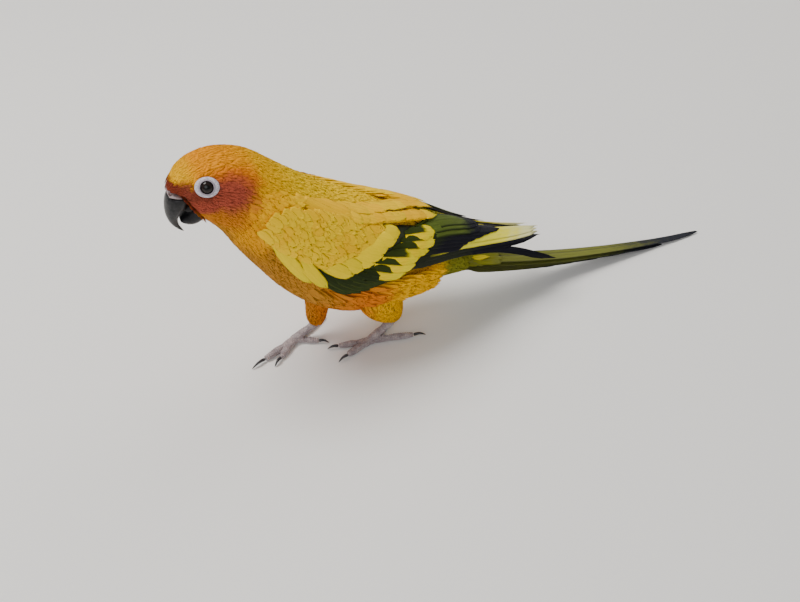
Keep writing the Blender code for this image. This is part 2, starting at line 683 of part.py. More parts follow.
def build_tail(finish):
    """Twelve stepped feathers and their coverts, fused in the stump of the tail."""
    tail = body_length("tail", TORSO_BACK, TAIL_STUMP_END, finish, GAP / 2)
    feathers = []
    for pair, tip in enumerate(TAIL_TIPS):
        for side in (-1, 1):
            level = -TAIL_STEP * pair
            aside = GAP / 2 + TAIL_SPREAD * pair
            if pair == 0:
                aside = -TAIL_CROSS
                level = TAIL_STEP if side < 0 else 0.0
            root = (TAIL_ROOT, side * (TAIL_WIDTH + aside))
            end = (tip, side * (TAIL_WIDTH * TAIL_TAPER + aside))
            feathers.append(vane_mesh("rectrix", tail_place, root, end, TAIL_WIDTH, finish,
                                      columns=2, rows=8 if pair == 0 else 5, tilt=0.0,
                                      lift=(level * TAIL_ROOT_STEP, level),
                                      thick=TAIL_VANE, neck=0.6, settle=0.25, round_from=0.9,
                                      taper=TAIL_TAPER, point=0.25))
    for root, reach, wide, count, root_high, tip_high in TAIL_COVERTS:
        for i in range(count):
            aside = i - (count - 1) / 2
            end = (root + reach - TAIL_COVERT_STEP * abs(aside), aside * wide * 0.8)
            feathers.append(vane_mesh("tail_covert", tail_place, (root, aside * wide), end,
                                      wide * 0.8, finish, rows=4, columns=2,
                                      lift=(root_high, tip_high), tilt=0.0, neck=0.8, settle=0.6))
    return combine(tail, feathers)


def build_thigh(name, path, radii, finish):
    thigh = tube(name, path, radii, 16, finish)
    belly = body_length("belly", *BELLY_SPAN, finish, grow=THIGH_PLAY)
    return combine(thigh, [belly], "DIFFERENCE")


def toe_path(heel, tip, radius):
    """Middle line of a toe: raised a little at each joint, its pads on the floor."""
    heel = Vector(heel)
    tip = Vector(tip)
    path, radii = [], []
    for share, swell, high in TOE_JOINTS:
        spot = heel.lerp(tip, share)
        thick = radius * swell
        path.append((spot.x, spot.y, thick * high))
        radii.append(thick)
    return path, radii


def build_foot(name, tarsus, toes, finish, claw_finish):
    """A scaly shank with two toes ahead and two behind, and the claw of each toe."""
    foot = tube(name, tarsus, TARSUS_RADII, 10, finish)
    heel = tarsus[-1]
    pieces = [ball("sole", (heel[0], heel[1], SOLE_HEIGHT), SOLE_RADII, finish, 10, 6)]
    for number, (tip, radius, claw) in enumerate(toes, start=1):
        path, radii = toe_path((heel[0], heel[1]), tip, radius)
        pieces.append(tube("toe", path, radii, 7, finish))
        build_claw(f"claw_{name[5:]}_{number}", (heel[0], heel[1]), tip, claw, claw_finish)
    combine(foot, pieces, solver="MANIFOLD")
    floor = box("floor", (-60, -60, -20), (60, 60, 0), finish)
    return combine(foot, [floor], "DIFFERENCE", solver="MANIFOLD")


def build_claw(name, heel, tip, length, finish):
    run = (Vector(tip) - Vector(heel)).normalized()
    path, radii = [], []
    for share, thick, high in CLAW_CURVE:
        spot = Vector(tip) + run * (GAP + length * share)
        path.append((spot.x, spot.y, high))
        radii.append(thick)
    tube(name, path, radii, 6, finish)


def stand_on_origin():
    """Move the bird so that the origin is below the middle of its box, on the floor."""
    pieces = [o for o in bpy.data.objects if o.type == "MESH"]
    corners = np.array([v.co[:] for o in pieces for v in o.data.vertices])
    low, high = corners.min(axis=0), corners.max(axis=0)
    centre = Vector(((low[0] + high[0]) / 2, (low[1] + high[1]) / 2, low[2]))
    root = bpy.data.objects.new("sun_conure", None)
    bpy.context.scene.collection.objects.link(root)
    for piece in pieces:
        spots = np.array([v.co[:] for v in piece.data.vertices])
        middle = Vector((spots.min(axis=0) + spots.max(axis=0)) / 2)
        for vertex in piece.data.vertices:
            vertex.co -= middle
        piece.location = middle - centre
        piece.parent = root
        piece.data.shade_smooth()
        piece.data.set_sharp_from_angle(angle=math.radians(40))


def main():
    for old in list(bpy.data.objects):
        bpy.data.objects.remove(old)
    orange = material("head_feathers", (0.85, 0.30, 0.03), 0.8)
    gold = material("neck_feathers", (0.88, 0.50, 0.03), 0.8)
    yellow = material("body_feathers", (0.90, 0.62, 0.02), 0.8)
    vane = material("wing_feathers", (0.62, 0.60, 0.03), 0.65)
    olive = material("tail_feathers", (0.20, 0.25, 0.05), 0.6)
    horn = material("bill_horn", (0.03, 0.03, 0.03), 0.35)
    flesh = material("cere_skin", (0.62, 0.50, 0.50), 0.7)
    scaly = material("foot_skin", (0.45, 0.38, 0.37), 0.7)
    claw = material("claw_horn", (0.05, 0.05, 0.05), 0.35)
    glassy = material("eye_dark", (0.01, 0.008, 0.008), 0.05)
    build_head(orange)
    build_eyes(glassy)
    build_bill(horn, flesh)
    body_length("neck", HEAD_BACK, NECK_BACK, gold, GAP / 2, GAP / 2)
    build_torso(yellow)
    build_wing("wing_left", 1, vane)
    build_wing("wing_right", -1, vane)
    build_tail(olive)
    build_thigh("thigh_left", LEFT_THIGH, LEFT_THIGH_RADII, yellow)
    build_thigh("thigh_right", RIGHT_THIGH, RIGHT_THIGH_RADII, yellow)
    build_foot("foot_left", LEFT_TARSUS, LEFT_TOES, scaly, claw)
    build_foot("foot_right", RIGHT_TARSUS, RIGHT_TOES, scaly, claw)
    stand_on_origin()


main()
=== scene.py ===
"""The looks of the standing sun conure: skin, coat, folded wings, tail, bill, eyes and feet.

Shapes are worked out in millimetres in the bird's own frame, where the middle of its feet
is the origin, its left side is -Y and it faces -X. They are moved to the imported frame, in
metres, when a mesh is made.
"""
import math

import bmesh
import bpy
import numpy as np
from mathutils import Matrix, Vector


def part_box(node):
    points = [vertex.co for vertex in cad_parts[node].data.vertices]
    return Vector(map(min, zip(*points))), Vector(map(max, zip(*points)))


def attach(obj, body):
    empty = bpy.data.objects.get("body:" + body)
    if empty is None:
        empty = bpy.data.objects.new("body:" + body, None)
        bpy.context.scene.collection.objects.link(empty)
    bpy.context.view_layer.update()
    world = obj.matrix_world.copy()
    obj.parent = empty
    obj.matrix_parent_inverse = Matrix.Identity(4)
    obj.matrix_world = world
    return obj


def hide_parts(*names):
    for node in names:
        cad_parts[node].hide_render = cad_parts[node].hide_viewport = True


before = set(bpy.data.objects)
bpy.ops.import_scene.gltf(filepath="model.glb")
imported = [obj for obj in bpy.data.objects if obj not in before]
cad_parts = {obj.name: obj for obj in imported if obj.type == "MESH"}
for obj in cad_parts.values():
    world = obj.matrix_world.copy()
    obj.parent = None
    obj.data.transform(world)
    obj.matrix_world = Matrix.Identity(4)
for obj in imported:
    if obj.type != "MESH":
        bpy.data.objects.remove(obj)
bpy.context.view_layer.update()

MM = 0.001
SEED = 7

# The trunk: place along X, height of its middle, half width, half height above and below.
BODY = np.array((
    (-70.5, 106.5, 2.4, 3.0, 3.0),
    (-69.0, 106.3, 4.8, 5.6, 6.0),
    (-66.5, 106.0, 7.6, 8.8, 9.4),
    (-62.5, 105.8, 11.0, 11.8, 12.8),
    (-56.0, 105.3, 13.7, 15.0, 16.0),
    (-50.0, 104.2, 15.0, 16.7, 17.2),
    (-44.0, 101.5, 16.0, 17.8, 17.8),
    (-36.0, 95.0, 17.2, 18.0, 19.5),
    (-28.0, 86.5, 19.4, 19.6, 22.5),
    (-19.0, 77.0, 21.8, 21.8, 25.5),
    (-8.0, 67.3, 23.6, 23.8, 30.0),
    (4.0, 59.0, 24.2, 24.6, 33.5),
    (17.0, 52.0, 23.2, 24.2, 34.0),
    (30.0, 46.5, 20.8, 22.4, 29.5),
    (43.0, 41.5, 16.8, 18.8, 22.0),
    (55.0, 36.8, 12.4, 13.4, 14.0),
    (66.0, 31.5, 9.6, 8.6, 8.4),
))
# The surface that the folded wing's vanes lie on, in the same columns.
WING_BED = np.array((
    (-44.0, 101.5, 17.9, 18.5, 18.5),
    (-36.0, 95.0, 18.5, 18.8, 20.2),
    (-28.0, 86.5, 20.3, 20.4, 23.2),
    (-19.0, 77.0, 22.5, 22.6, 26.2),
    (-8.0, 67.3, 24.3, 24.6, 30.7),
    (4.0, 59.0, 24.9, 25.4, 34.2),
    (17.0, 52.0, 24.1, 25.3, 34.7),
    (32.0, 45.8, 22.4, 23.4, 29.8),
    (48.0, 40.3, 19.0, 19.6, 20.5),
    (64.0, 35.5, 15.6, 14.6, 15.0),
    (82.0, 30.5, 13.0, 11.0, 11.0),
    (100.0, 26.0, 11.6, 9.4, 9.4),
    (124.0, 20.6, 10.8, 8.2, 8.2),
))
WING_SKIN = 1.7
WING_EDGES = np.array((
    (-33.5, 76.0, 94.0), (-31.0, 66.0, 102.0), (-27.0, 57.0, 109.0), (-20.0, 50.0, 114.0),
    (-10.0, 47.0, 115.0), (0.0, 44.0, 113.0), (10.0, 40.0, 107.0), (18.0, 36.0, 98.0),
    (26.0, 33.0, 88.0), (34.0, 32.0, 78.0), (40.0, 34.0, 70.0),
))
TAIL_LINE = np.array((
    (56.0, 33.2), (75.0, 26.6), (100.0, 19.0), (125.0, 12.6), (150.0, 7.6),
    (175.0, 3.6), (195.0, 1.0), (208.0, 0.0), (222.0, 0.0),
))
TAIL_TIPS = (217.0, 193.0, 172.0, 153.0, 137.0, 124.0)
LEFT_THIGH = np.array(((15, -10, 40), (19, -11, 28), (23, -11, 20.5), (25.6, -10.7, 15.5),
                       (26, -10.5, 12.4)), float)
LEFT_THIGH_RADII = (9.5, 10.5, 8.4, 5.4, 3.4)
RIGHT_THIGH = np.array(((-1, 9, 42), (-4, 7.5, 30), (-6.8, 5.6, 20), (-8, 5, 13.5),
                        (-8.2, 5, 9.8)), float)
RIGHT_THIGH_RADII = (9.5, 9.0, 5.8, 4.8, 3.4)
HEELS = {"left": (14.0, -11.0), "right": (-19.5, 5.0)}

EYE_PLACE = -56.3
EYE_ANGLE = 65.0
EYE_RADIUS = 3.2
EYE_SUNK = 1.5
RING_LENGTH = 5.1
RING_HEIGHT = 4.3
# The notch that carries the bill: its inner corner, its foot at the chin, and how much the
# forehead's lower edge rises from the corner to the front.
FACE_TOP = np.array((-65.0, 107.0))
FACE_LOW = np.array((-50.4, 81.0))
FOREHEAD_RISE = 0.082


# ---- surfaces

def rows_at(table, place):
    """Values of a table at many places given in its first column, smoothly joined."""
    places = table[:, 0]
    slopes = np.gradient(table, places, axis=0)
    first = np.clip(np.searchsorted(places, place) - 1, 0, len(places) - 2)
    span = (places[first + 1] - places[first])[:, None]
    q = np.clip((place - places[first])[:, None] / span, 0.0, 1.3)
    start = table[first] * (2 * q**3 - 3 * q**2 + 1) + slopes[first] * span * (q**3 - 2 * q**2 + q)
    return start + table[first + 1] * (3 * q**2 - 2 * q**3) \
        + slopes[first + 1] * span * (q**3 - q**2)


def loft(table, place, angle, grow=0.0):
    """Points of a trunk-like surface; angle 0 is the back, 90 the left side, 180 the belly."""
    place, angle, grow = np.broadcast_arrays(place, angle, grow)
    flat = place.ravel().astype(float)
    rise = rows_at(table, flat + 0.5)[:, 1] - rows_at(table, flat - 0.5)[:, 1]
    size = np.sqrt(1 + rise**2)
    row = rows_at(table, flat)
    turn = np.radians(angle.ravel().astype(float))
    more = grow.ravel()
    high = (np.where(np.cos(turn) > 0, row[:, 3], row[:, 4]) + more) * np.cos(turn)
    made = np.stack((flat - rise / size * high, -(row[:, 2] + more) * np.sin(turn),
                     row[:, 1] + high / size), axis=-1)
    return made.reshape(place.shape + (3,))


def trunk(place, angle, grow):
    return loft(BODY, place, angle, grow)


def folded(place, angle, grow):
    return loft(WING_BED, place, angle, WING_SKIN + grow)


def shoulders(place, angle, grow):
    """The folded wings' surface, sunk to the back's own between their front halves."""
    between = 1 - smooth((np.abs(angle) - 6.0) / 34.0)
    return loft(WING_BED, place, angle,
                WING_SKIN * (1 - between * smooth((26.0 - place) / 24.0)) + grow)


def tail_plane(place, across, grow):
    place, across, grow = np.broadcast_arrays(place, across, grow)
    rise = rows_at(TAIL_LINE, place.ravel())[:, 1].reshape(place.shape)
    return np.stack((place.astype(float), across.astype(float),
                     np.maximum(rise + grow, 0.05)), axis=-1)


def limb(path, radii):
    """Surface round a limb: place runs from 0 to 100 along it, angle goes round it."""
    stations = np.linspace(0, 100, len(path))
    table = np.column_stack((stations, path, radii))

    def surface(place, angle, grow):
        place, angle, grow = np.broadcast_arrays(place, angle, grow)
        row = rows_at(table, place.ravel().astype(float))
        ahead = rows_at(table, place.ravel() + 1.0)[:, 1:4] - rows_at(table, place.ravel() - 1.0)[:, 1:4]
        ahead = unit(ahead)
        front = unit(np.array((-1.0, 0, 0)) - ahead * (ahead @ np.array((-1.0, 0, 0)))[:, None])
        side = np.cross(front, ahead)
        turn = np.radians(angle.ravel().astype(float))[:, None]
        out = front * np.cos(turn) + side * np.sin(turn)
        made = row[:, 1:4] + out * (row[:, 4:5] + grow.ravel()[:, None])
        return made.reshape(place.shape + (3,))

    return surface


def unit(vectors):
    return vectors / np.maximum(np.linalg.norm(vectors, axis=-1, keepdims=True), 1e-9)


def eye_frame(side):
    """Where an eye looks out of the skin, and the way it faces."""
    spot = loft(BODY, EYE_PLACE, EYE_ANGLE * side)
    along = loft(BODY, EYE_PLACE + 0.5, EYE_ANGLE * side) - loft(BODY, EYE_PLACE - 0.5, EYE_ANGLE * side)
    around = loft(BODY, EYE_PLACE, EYE_ANGLE * side + 1) - loft(BODY, EYE_PLACE, EYE_ANGLE * side - 1)
    facing = unit(np.cross(around, along))
    if facing[1] * side > 0:
        facing = -facing
    return spot, facing


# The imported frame's origin lies below the middle of the whole bird.
eye_low, eye_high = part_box("eye_left")
eye_spot, eye_facing = eye_frame(1)
SHIFT = np.array((eye_low + eye_high) / 2) - (eye_spot - eye_facing * EYE_SUNK) * MM
SHIFT[2] = 0.0


# ---- materials

class Value:
    """A socket in a material's nodes, with sums written as Python."""

    def __init__(self, paint, socket):
        self.paint = paint
        self.socket = socket

    def sum(self, operation, *others):
        return self.paint.node("ShaderNodeMath", {"operation": operation},
                               dict(enumerate((self,) + others)))

    def __add__(self, other):
        return self.sum("ADD", other)

    __radd__ = __add__

    def __sub__(self, other):
        return self.sum("SUBTRACT", other)

    def __rsub__(self, other):
        return self.paint.node("ShaderNodeMath", {"operation": "SUBTRACT"}, {0: other, 1: self})

    def __mul__(self, other):
        return self.sum("MULTIPLY", other)

    __rmul__ = __mul__

    def __truediv__(self, other):
        return self.sum("DIVIDE", other)

    def sine(self):
        return self.sum("SINE")

    def size(self):
        return self.sum("ABSOLUTE")

    def most(self, other):
        return self.sum("MAXIMUM", other)

    def ease(self, low, high):
        """0 below low, 1 above high, and smooth between them; low may be the higher one."""
        return self.paint.node("ShaderNodeMapRange", {"interpolation_type": "SMOOTHSTEP"},
                               {0: self, 1: low, 2: high, 3: 0.0, 4: 1.0})


class Paint:
    """A material on the Principled shader."""

    def __init__(self, name, roughness=0.6, **constants):
        self.material = bpy.data.materials.new(name)
        self.material.use_nodes = True
        self.nodes = self.material.node_tree.nodes
        self.shader = self.nodes["Principled BSDF"]
        self.shader.inputs["Roughness"].default_value = roughness
        for socket, value in constants.items():
            self.shader.inputs[socket.replace("_", " ").title().replace("Ior", "IOR")].default_value = value

    def node(self, kind, settings, inputs, output=0):
        made = self.nodes.new(kind)
        for key, value in settings.items():
            setattr(made, key, value)
        for key, value in inputs.items():
            self.feed(made.inputs[key], value)
        return Value(self, made.outputs[output])

    def feed(self, socket, value):
        if isinstance(value, Value):
            self.material.node_tree.links.new(value.socket, socket)
        elif hasattr(socket.default_value, "__len__") and not hasattr(value, "__len__"):
            socket.default_value = (value,) * len(socket.default_value)
        elif hasattr(value, "__len__") and len(value) < len(socket.default_value):
            socket.default_value = (*value, 1.0)
        else:
            socket.default_value = value

    def wear(self, socket, value):
        self.feed(self.shader.inputs[socket], value)

    def mix(self, share, first, second):
        return self.node("ShaderNodeMix", {"data_type": "RGBA"}, {0: share, 6: first, 7: second}, 2)

    def shade(self, colour, factor):
        """A colour made lighter or darker by a value."""
        return self.node("ShaderNodeVectorMath", {"operation": "SCALE"}, {0: colour, 3: factor})

    def attribute(self, name):
        made = self.nodes.new("ShaderNodeAttribute")
        made.attribute_name = name
        return made

    def number(self, name):
        return Value(self, self.attribute(name).outputs["Fac"])

    def parts(self, vector):
        split = self.nodes.new("ShaderNodeSeparateXYZ")
        self.feed(split.inputs[0], vector)
        return [Value(self, split.outputs[i]) for i in range(3)]

    def millimetres(self, vector):
        """A place in the bird's own frame, with its two sides folded on each other."""
        moved = self.node("ShaderNodeVectorMath", {"operation": "MULTIPLY_ADD"},
                          {0: vector, 1: (1 / MM,) * 3, 2: tuple(-SHIFT / MM)})
        x, y, z = self.parts(moved)
        return self.node("ShaderNodeCombineXYZ", {}, {0: x, 1: y.size(), 2: z})

    def place(self):
        coordinates = self.nodes.new("ShaderNodeTexCoord")
        return Value(self, coordinates.outputs["Object"])

    def blob(self, spot, centre, radii, soft=0.35):
        """1 inside an ellipsoid, fading to 0 across its edge."""
        away = self.node("ShaderNodeVectorMath", {"operation": "SUBTRACT"}, {0: spot, 1: centre})
        scaled = self.node("ShaderNodeVectorMath", {"operation": "DIVIDE"}, {0: away, 1: radii})
        made = self.nodes.new("ShaderNodeVectorMath")
        made.operation = "LENGTH"
        self.feed(made.inputs[0], scaled)
        return Value(self, made.outputs["Value"]).ease(1 + soft, 1 - soft)

    def noise(self, vector, scale, detail=2.0, roughness=0.5):
        return self.node("ShaderNodeTexNoise", {}, {"Vector": vector, "Scale": scale,
                                                    "Detail": detail, "Roughness": roughness})

    def stray(self, vector, scale, reach):
        """A place moved about by noise, so that borders of colour wander."""
        cloud = self.node("ShaderNodeTexNoise", {}, {"Vector": vector, "Scale": scale, "Detail": 3.0}, 1)
        move = self.node("ShaderNodeVectorMath", {"operation": "SUBTRACT"}, {0: cloud, 1: (0.5,) * 3})
        return self.node("ShaderNodeVectorMath", {"operation": "MULTIPLY_ADD"},
                         {0: move, 1: (reach,) * 3, 2: vector})

    def stretch(self, vector, factors):
        return self.node("ShaderNodeVectorMath", {"operation": "MULTIPLY"}, {0: vector, 1: factors})

    def bump(self, height, strength, distance):
        made = self.node("ShaderNodeBump", {}, {"Height": height, "Strength": strength,
                                                "Distance": distance})
        self.wear("Normal", made)
        return made


GOLD = (0.90, 0.38, 0.0)
NECK_GOLD = (0.92, 0.46, 0.0)
FOREHEAD = (0.90, 0.46, 0.0)
CROWN = (0.92, 0.33, 0.003)
FLAME = (0.74, 0.17, 0.012)
MASK_RED = (0.42, 0.080, 0.045)
LORE_RED = (0.24, 0.050, 0.028)
BAND_BROWN = (0.20, 0.036, 0.018)
CHEEK = (0.60, 0.20, 0.015)
THROAT = (0.50, 0.22, 0.02)
# Painted shade for the skin in the hollow at the foot of the bill.
HOLLOW_SHADE = (0.16, 0.045, 0.014)
BREAST = (0.46, 0.20, 0.022)
BELLY = (0.66, 0.18, 0.012)
VENT = (0.82, 0.42, 0.0)
RUMP = (0.20, 0.20, 0.016)
YELLOW = (0.93, 0.67, 0.0)
WARM_YELLOW = (0.93, 0.58, 0.0)
SUN_BLOTCH = (0.88, 0.44, 0.0)
LIME = (0.60, 0.55, 0.002)
OLIVE = (0.090, 0.125, 0.018)
DEEP_GREEN = (0.020, 0.030, 0.006)
NAVY = (0.008, 0.008, 0.014)
# A painted sheen: the pale grey-yellow that light lays on the inner primaries' tips.
PAINTED_SHEEN = (0.80, 0.78, 0.38)
PALE_BAND = (0.88, 0.80, 0.05)
MOUTH_DARK = (0.006, 0.005, 0.005)


def plumage(paint, spot, ripple):
    """Colours of the head and trunk by place, in the bird's own frame."""
    spot = paint.stray(spot, 0.22, 6.5)
    x, y, z = paint.parts(spot)
    ahead = x - 17.0
    middle = (ahead * -0.81).most(ahead * -0.42) + 52.0
    level = (z - middle) / 24.0
    level = level + (ripple - 0.5) * 0.5
    below = level.ease(0.25, -0.55)
    colour = paint.mix(below, WARM_YELLOW, BREAST)
    colour = paint.mix(below * x.ease(-22.0, 2.0), colour, BELLY)
    colour = paint.mix(x.ease(4.0, 17.0) * level.ease(0.5, -0.1), colour, VENT)
    colour = paint.mix(x.ease(43.0, 53.0), colour, RUMP)
    colour = paint.mix(x.ease(-16.0, -34.0) * level.ease(-0.9, 0.1), colour, NECK_GOLD)
    head = x.ease(-34.0, -42.0)
    colour = paint.mix(head * level.ease(-1.4, -0.3), colour, GOLD)
    colour = paint.mix(paint.blob(spot, (-56.0, 0.0, 88.0), (13.0, 12.0, 7.5)), colour, THROAT)
    colour = paint.mix(paint.blob(spot, (-54.0, 4.0, 118.5), (13.0, 11.0, 7.5), 0.6), colour, CROWN)
    colour = paint.mix(paint.blob(spot, (-45.0, 11.5, 112.5), (9.0, 7.0, 6.0), 0.6), colour, CROWN)
    colour = paint.mix(paint.blob(spot, (-69.0, 3.0, 114.5), (8.5, 9.0, 5.5), 0.6), colour, FOREHEAD)
    colour = paint.mix(paint.blob(spot, (-53.0, 14.0, 97.0), (11.0, 9.0, 7.0), 0.5), colour, CHEEK)
    colour = paint.mix(paint.blob(spot, (-46.0, 13.0, 110.5), (10.0, 7.0, 7.0), 0.6), colour, FLAME)
    colour = paint.mix(paint.blob(spot, (-48.5, 14.5, 107.0), (10.5, 8.0, 7.4), 0.5), colour, MASK_RED)
    colour = paint.mix(paint.blob(spot, (-58.0, 11.5, 105.0), (8.5, 7.0, 5.4), 0.4), colour, MASK_RED)
    colour = paint.mix(paint.blob(spot, (-62.0, 9.0, 108.6), (8.0, 6.0, 3.4), 0.4), colour, LORE_RED)
    return paint.mix(paint.blob(spot, (-69.0, 3.0, 109.4), (4.0, 7.5, 2.8), 0.4), colour, BAND_BROWN)


def barbs(paint, depth=0.00003):
    """Fine ridges that run out from the shaft of a vane."""
    across, along, share = paint.parts(Value(paint, paint.attribute("vane").outputs["Vector"]))
    ridge = ((along - across.size() * 0.9) * 15.0).sine()
    web = Value(paint, paint.attribute("vane").outputs["Vector"])
    rough = paint.noise(paint.stretch(web, (2.4, 0.5, 0.0)), 1.0, 3.0)
    paint.bump(ridge * 0.3 + rough, 0.5, depth)
    return across, along, share


def coat_finish(name):
    """Small feathers of head and trunk: each takes the colour of its root's place."""
    paint = Paint(name, 0.85, specular_ior_level=0.05)
    root = paint.millimetres(Value(paint, paint.attribute("root").outputs["Vector"]))
    ripple = paint.noise(root, 0.16, 3.0)
    colour = plumage(paint, root, ripple)
    across, along, share = barbs(paint)
    tone = paint.number("tone")
    fine = paint.noise(root, 0.5, 2.0)
    # Each vane is up to 6 percent darker towards its root: painted shade under the vanes that overlap it.
    # Tone and fine noise vary at random.
    light = (tone - 0.5) * 0.10 + (fine - 0.5) * 0.16 + share.ease(0.1, 1.0) * 0.06 + 0.96
    paint.wear("Base Color", paint.shade(colour, light))
    return paint.material


def skin_finish():
    paint = Paint("feathered_skin", 0.7)
    spot = paint.millimetres(paint.place())
    ripple = paint.noise(spot, 0.16, 3.0)
    # The skin takes the plumage's colour darkened to nine tenths: painted shade where it shows between the
    # feathers.
    colour = paint.shade(plumage(paint, spot, ripple), 0.9)
    # Painted shade: the skin in the hollow at the foot of the bill is darkened to deep brown, so that it
    # reads as shaded feather bases.
    hollow_shade = paint.blob(spot, (-59.5, 0.0, 93.5), (8.0, 8.8, 13.0), 0.3)
    colour = paint.mix(hollow_shade, colour, HOLLOW_SHADE)
    mouth = paint.blob(spot, (-61.5, 0.0, 98.5), (4.0, 7.2, 4.8), 0.12)
    paint.wear("Base Color", paint.mix(mouth, colour, MOUTH_DARK))
    paint.bump(paint.noise(spot, 1.6, 3.0), 0.4, 0.0003)
    return paint.material


def vane_finish(name, base, tip, tip_from=0.6, tip_to=0.9, outer=None, outer_from=0.0, edge=None,
                streak=0.25, rough=0.6, start=None, start_to=0.35, quill=0.45, variety=0.16,
                blotch=None):
    """Large vanes: a base colour, its outer web, its edge, its tip and a fine shaft."""
    paint = Paint(name, rough, specular_ior_level=0.08)
    across, along, share = barbs(paint, 0.00006)
    web = paint.number("web")
    tone = paint.number("tone")
    vane = Value(paint, paint.attribute("vane").outputs["Vector"])
    lines = paint.noise(paint.stretch(vane, (1.6, 0.16, 0.0)), 1.0, 3.0)
    patch = paint.noise(paint.stretch(vane, (0.5, 0.25, 0.0)), 1.0, 2.0)
    colour = paint.mix(0.0, base, base)
    if start:
        colour = paint.mix(share.ease(start_to, start_to * 0.4), colour, start)
    if outer:
        colour = paint.mix((web + (lines - 0.5) * 0.3).ease(outer_from - 0.08, outer_from + 0.08),
                           colour, outer)
    if edge:
        colour = paint.mix((web.size() + (lines - 0.5) * 0.4).ease(0.62, 0.98), colour, edge)
    colour = paint.mix((share + (patch - 0.5) * 0.25 + web.size() * 0.05).ease(tip_from, tip_to),
                       colour, tip)
    if blotch:
        root = paint.millimetres(Value(paint, paint.attribute("root").outputs["Vector"]))
        colour = paint.mix(paint.noise(root, 0.11, 3.0).ease(0.42, 0.68) * 0.7, colour, blotch)
    shaft = web.size().ease(0.07, 0.025)
    light = 1.0 - streak * 0.5 + (lines - 0.5) * streak * 1.6 + (tone - 0.5) * variety + streak * 0.5
    colour = paint.shade(colour, light)
    colour = paint.mix(shaft * quill, colour, paint.shade(colour, 0.45))
    paint.wear("Base Color", colour)
    return paint.material


# ---- meshes

def make_piece(name, points, triangles, finish, smooth=None):
    """A mesh object from arrays of points in millimetres and of triangles."""
    mesh = bpy.data.meshes.new(name)
    mesh.vertices.add(len(points))
    mesh.vertices.foreach_set("co", (points * MM + SHIFT).astype(np.float32).ravel())
    mesh.loops.add(triangles.size)
    mesh.loops.foreach_set("vertex_index", triangles.astype(np.int32).ravel())
    mesh.polygons.add(len(triangles))
    mesh.polygons.foreach_set("loop_start", np.arange(0, triangles.size, 3, dtype=np.int32))
    if smooth is not None:
        mesh.polygons.foreach_set("use_smooth", smooth)
    mesh.materials.append(finish)
    mesh.update(calc_edges=True)
    mesh.validate()
    made = bpy.data.objects.new(name, mesh)
    bpy.context.scene.collection.objects.link(made)
    return made


def vane_faces(rows, columns):
    """Triangles of a closed vane: a domed upper face over a plain underside."""
    wide = columns + 1
    upper, under = [], []
    for r in range(rows):
        for c in range(columns):
            a = r * wide + c
            upper += [(a, a + wide + 1, a + 1), (a, a + wide, a + wide + 1)]
        left, right = r * wide, r * wide + columns
        under += [(left, right, right + wide), (left, right + wide, left + wide)]
    last = rows * wide
    for c in range(1, columns):
        under.append((0, c, c + 1))
        under.append((last, last + c + 1, last + c))
    return np.array(upper + under), np.arange(len(upper) + len(under)) < len(upper)


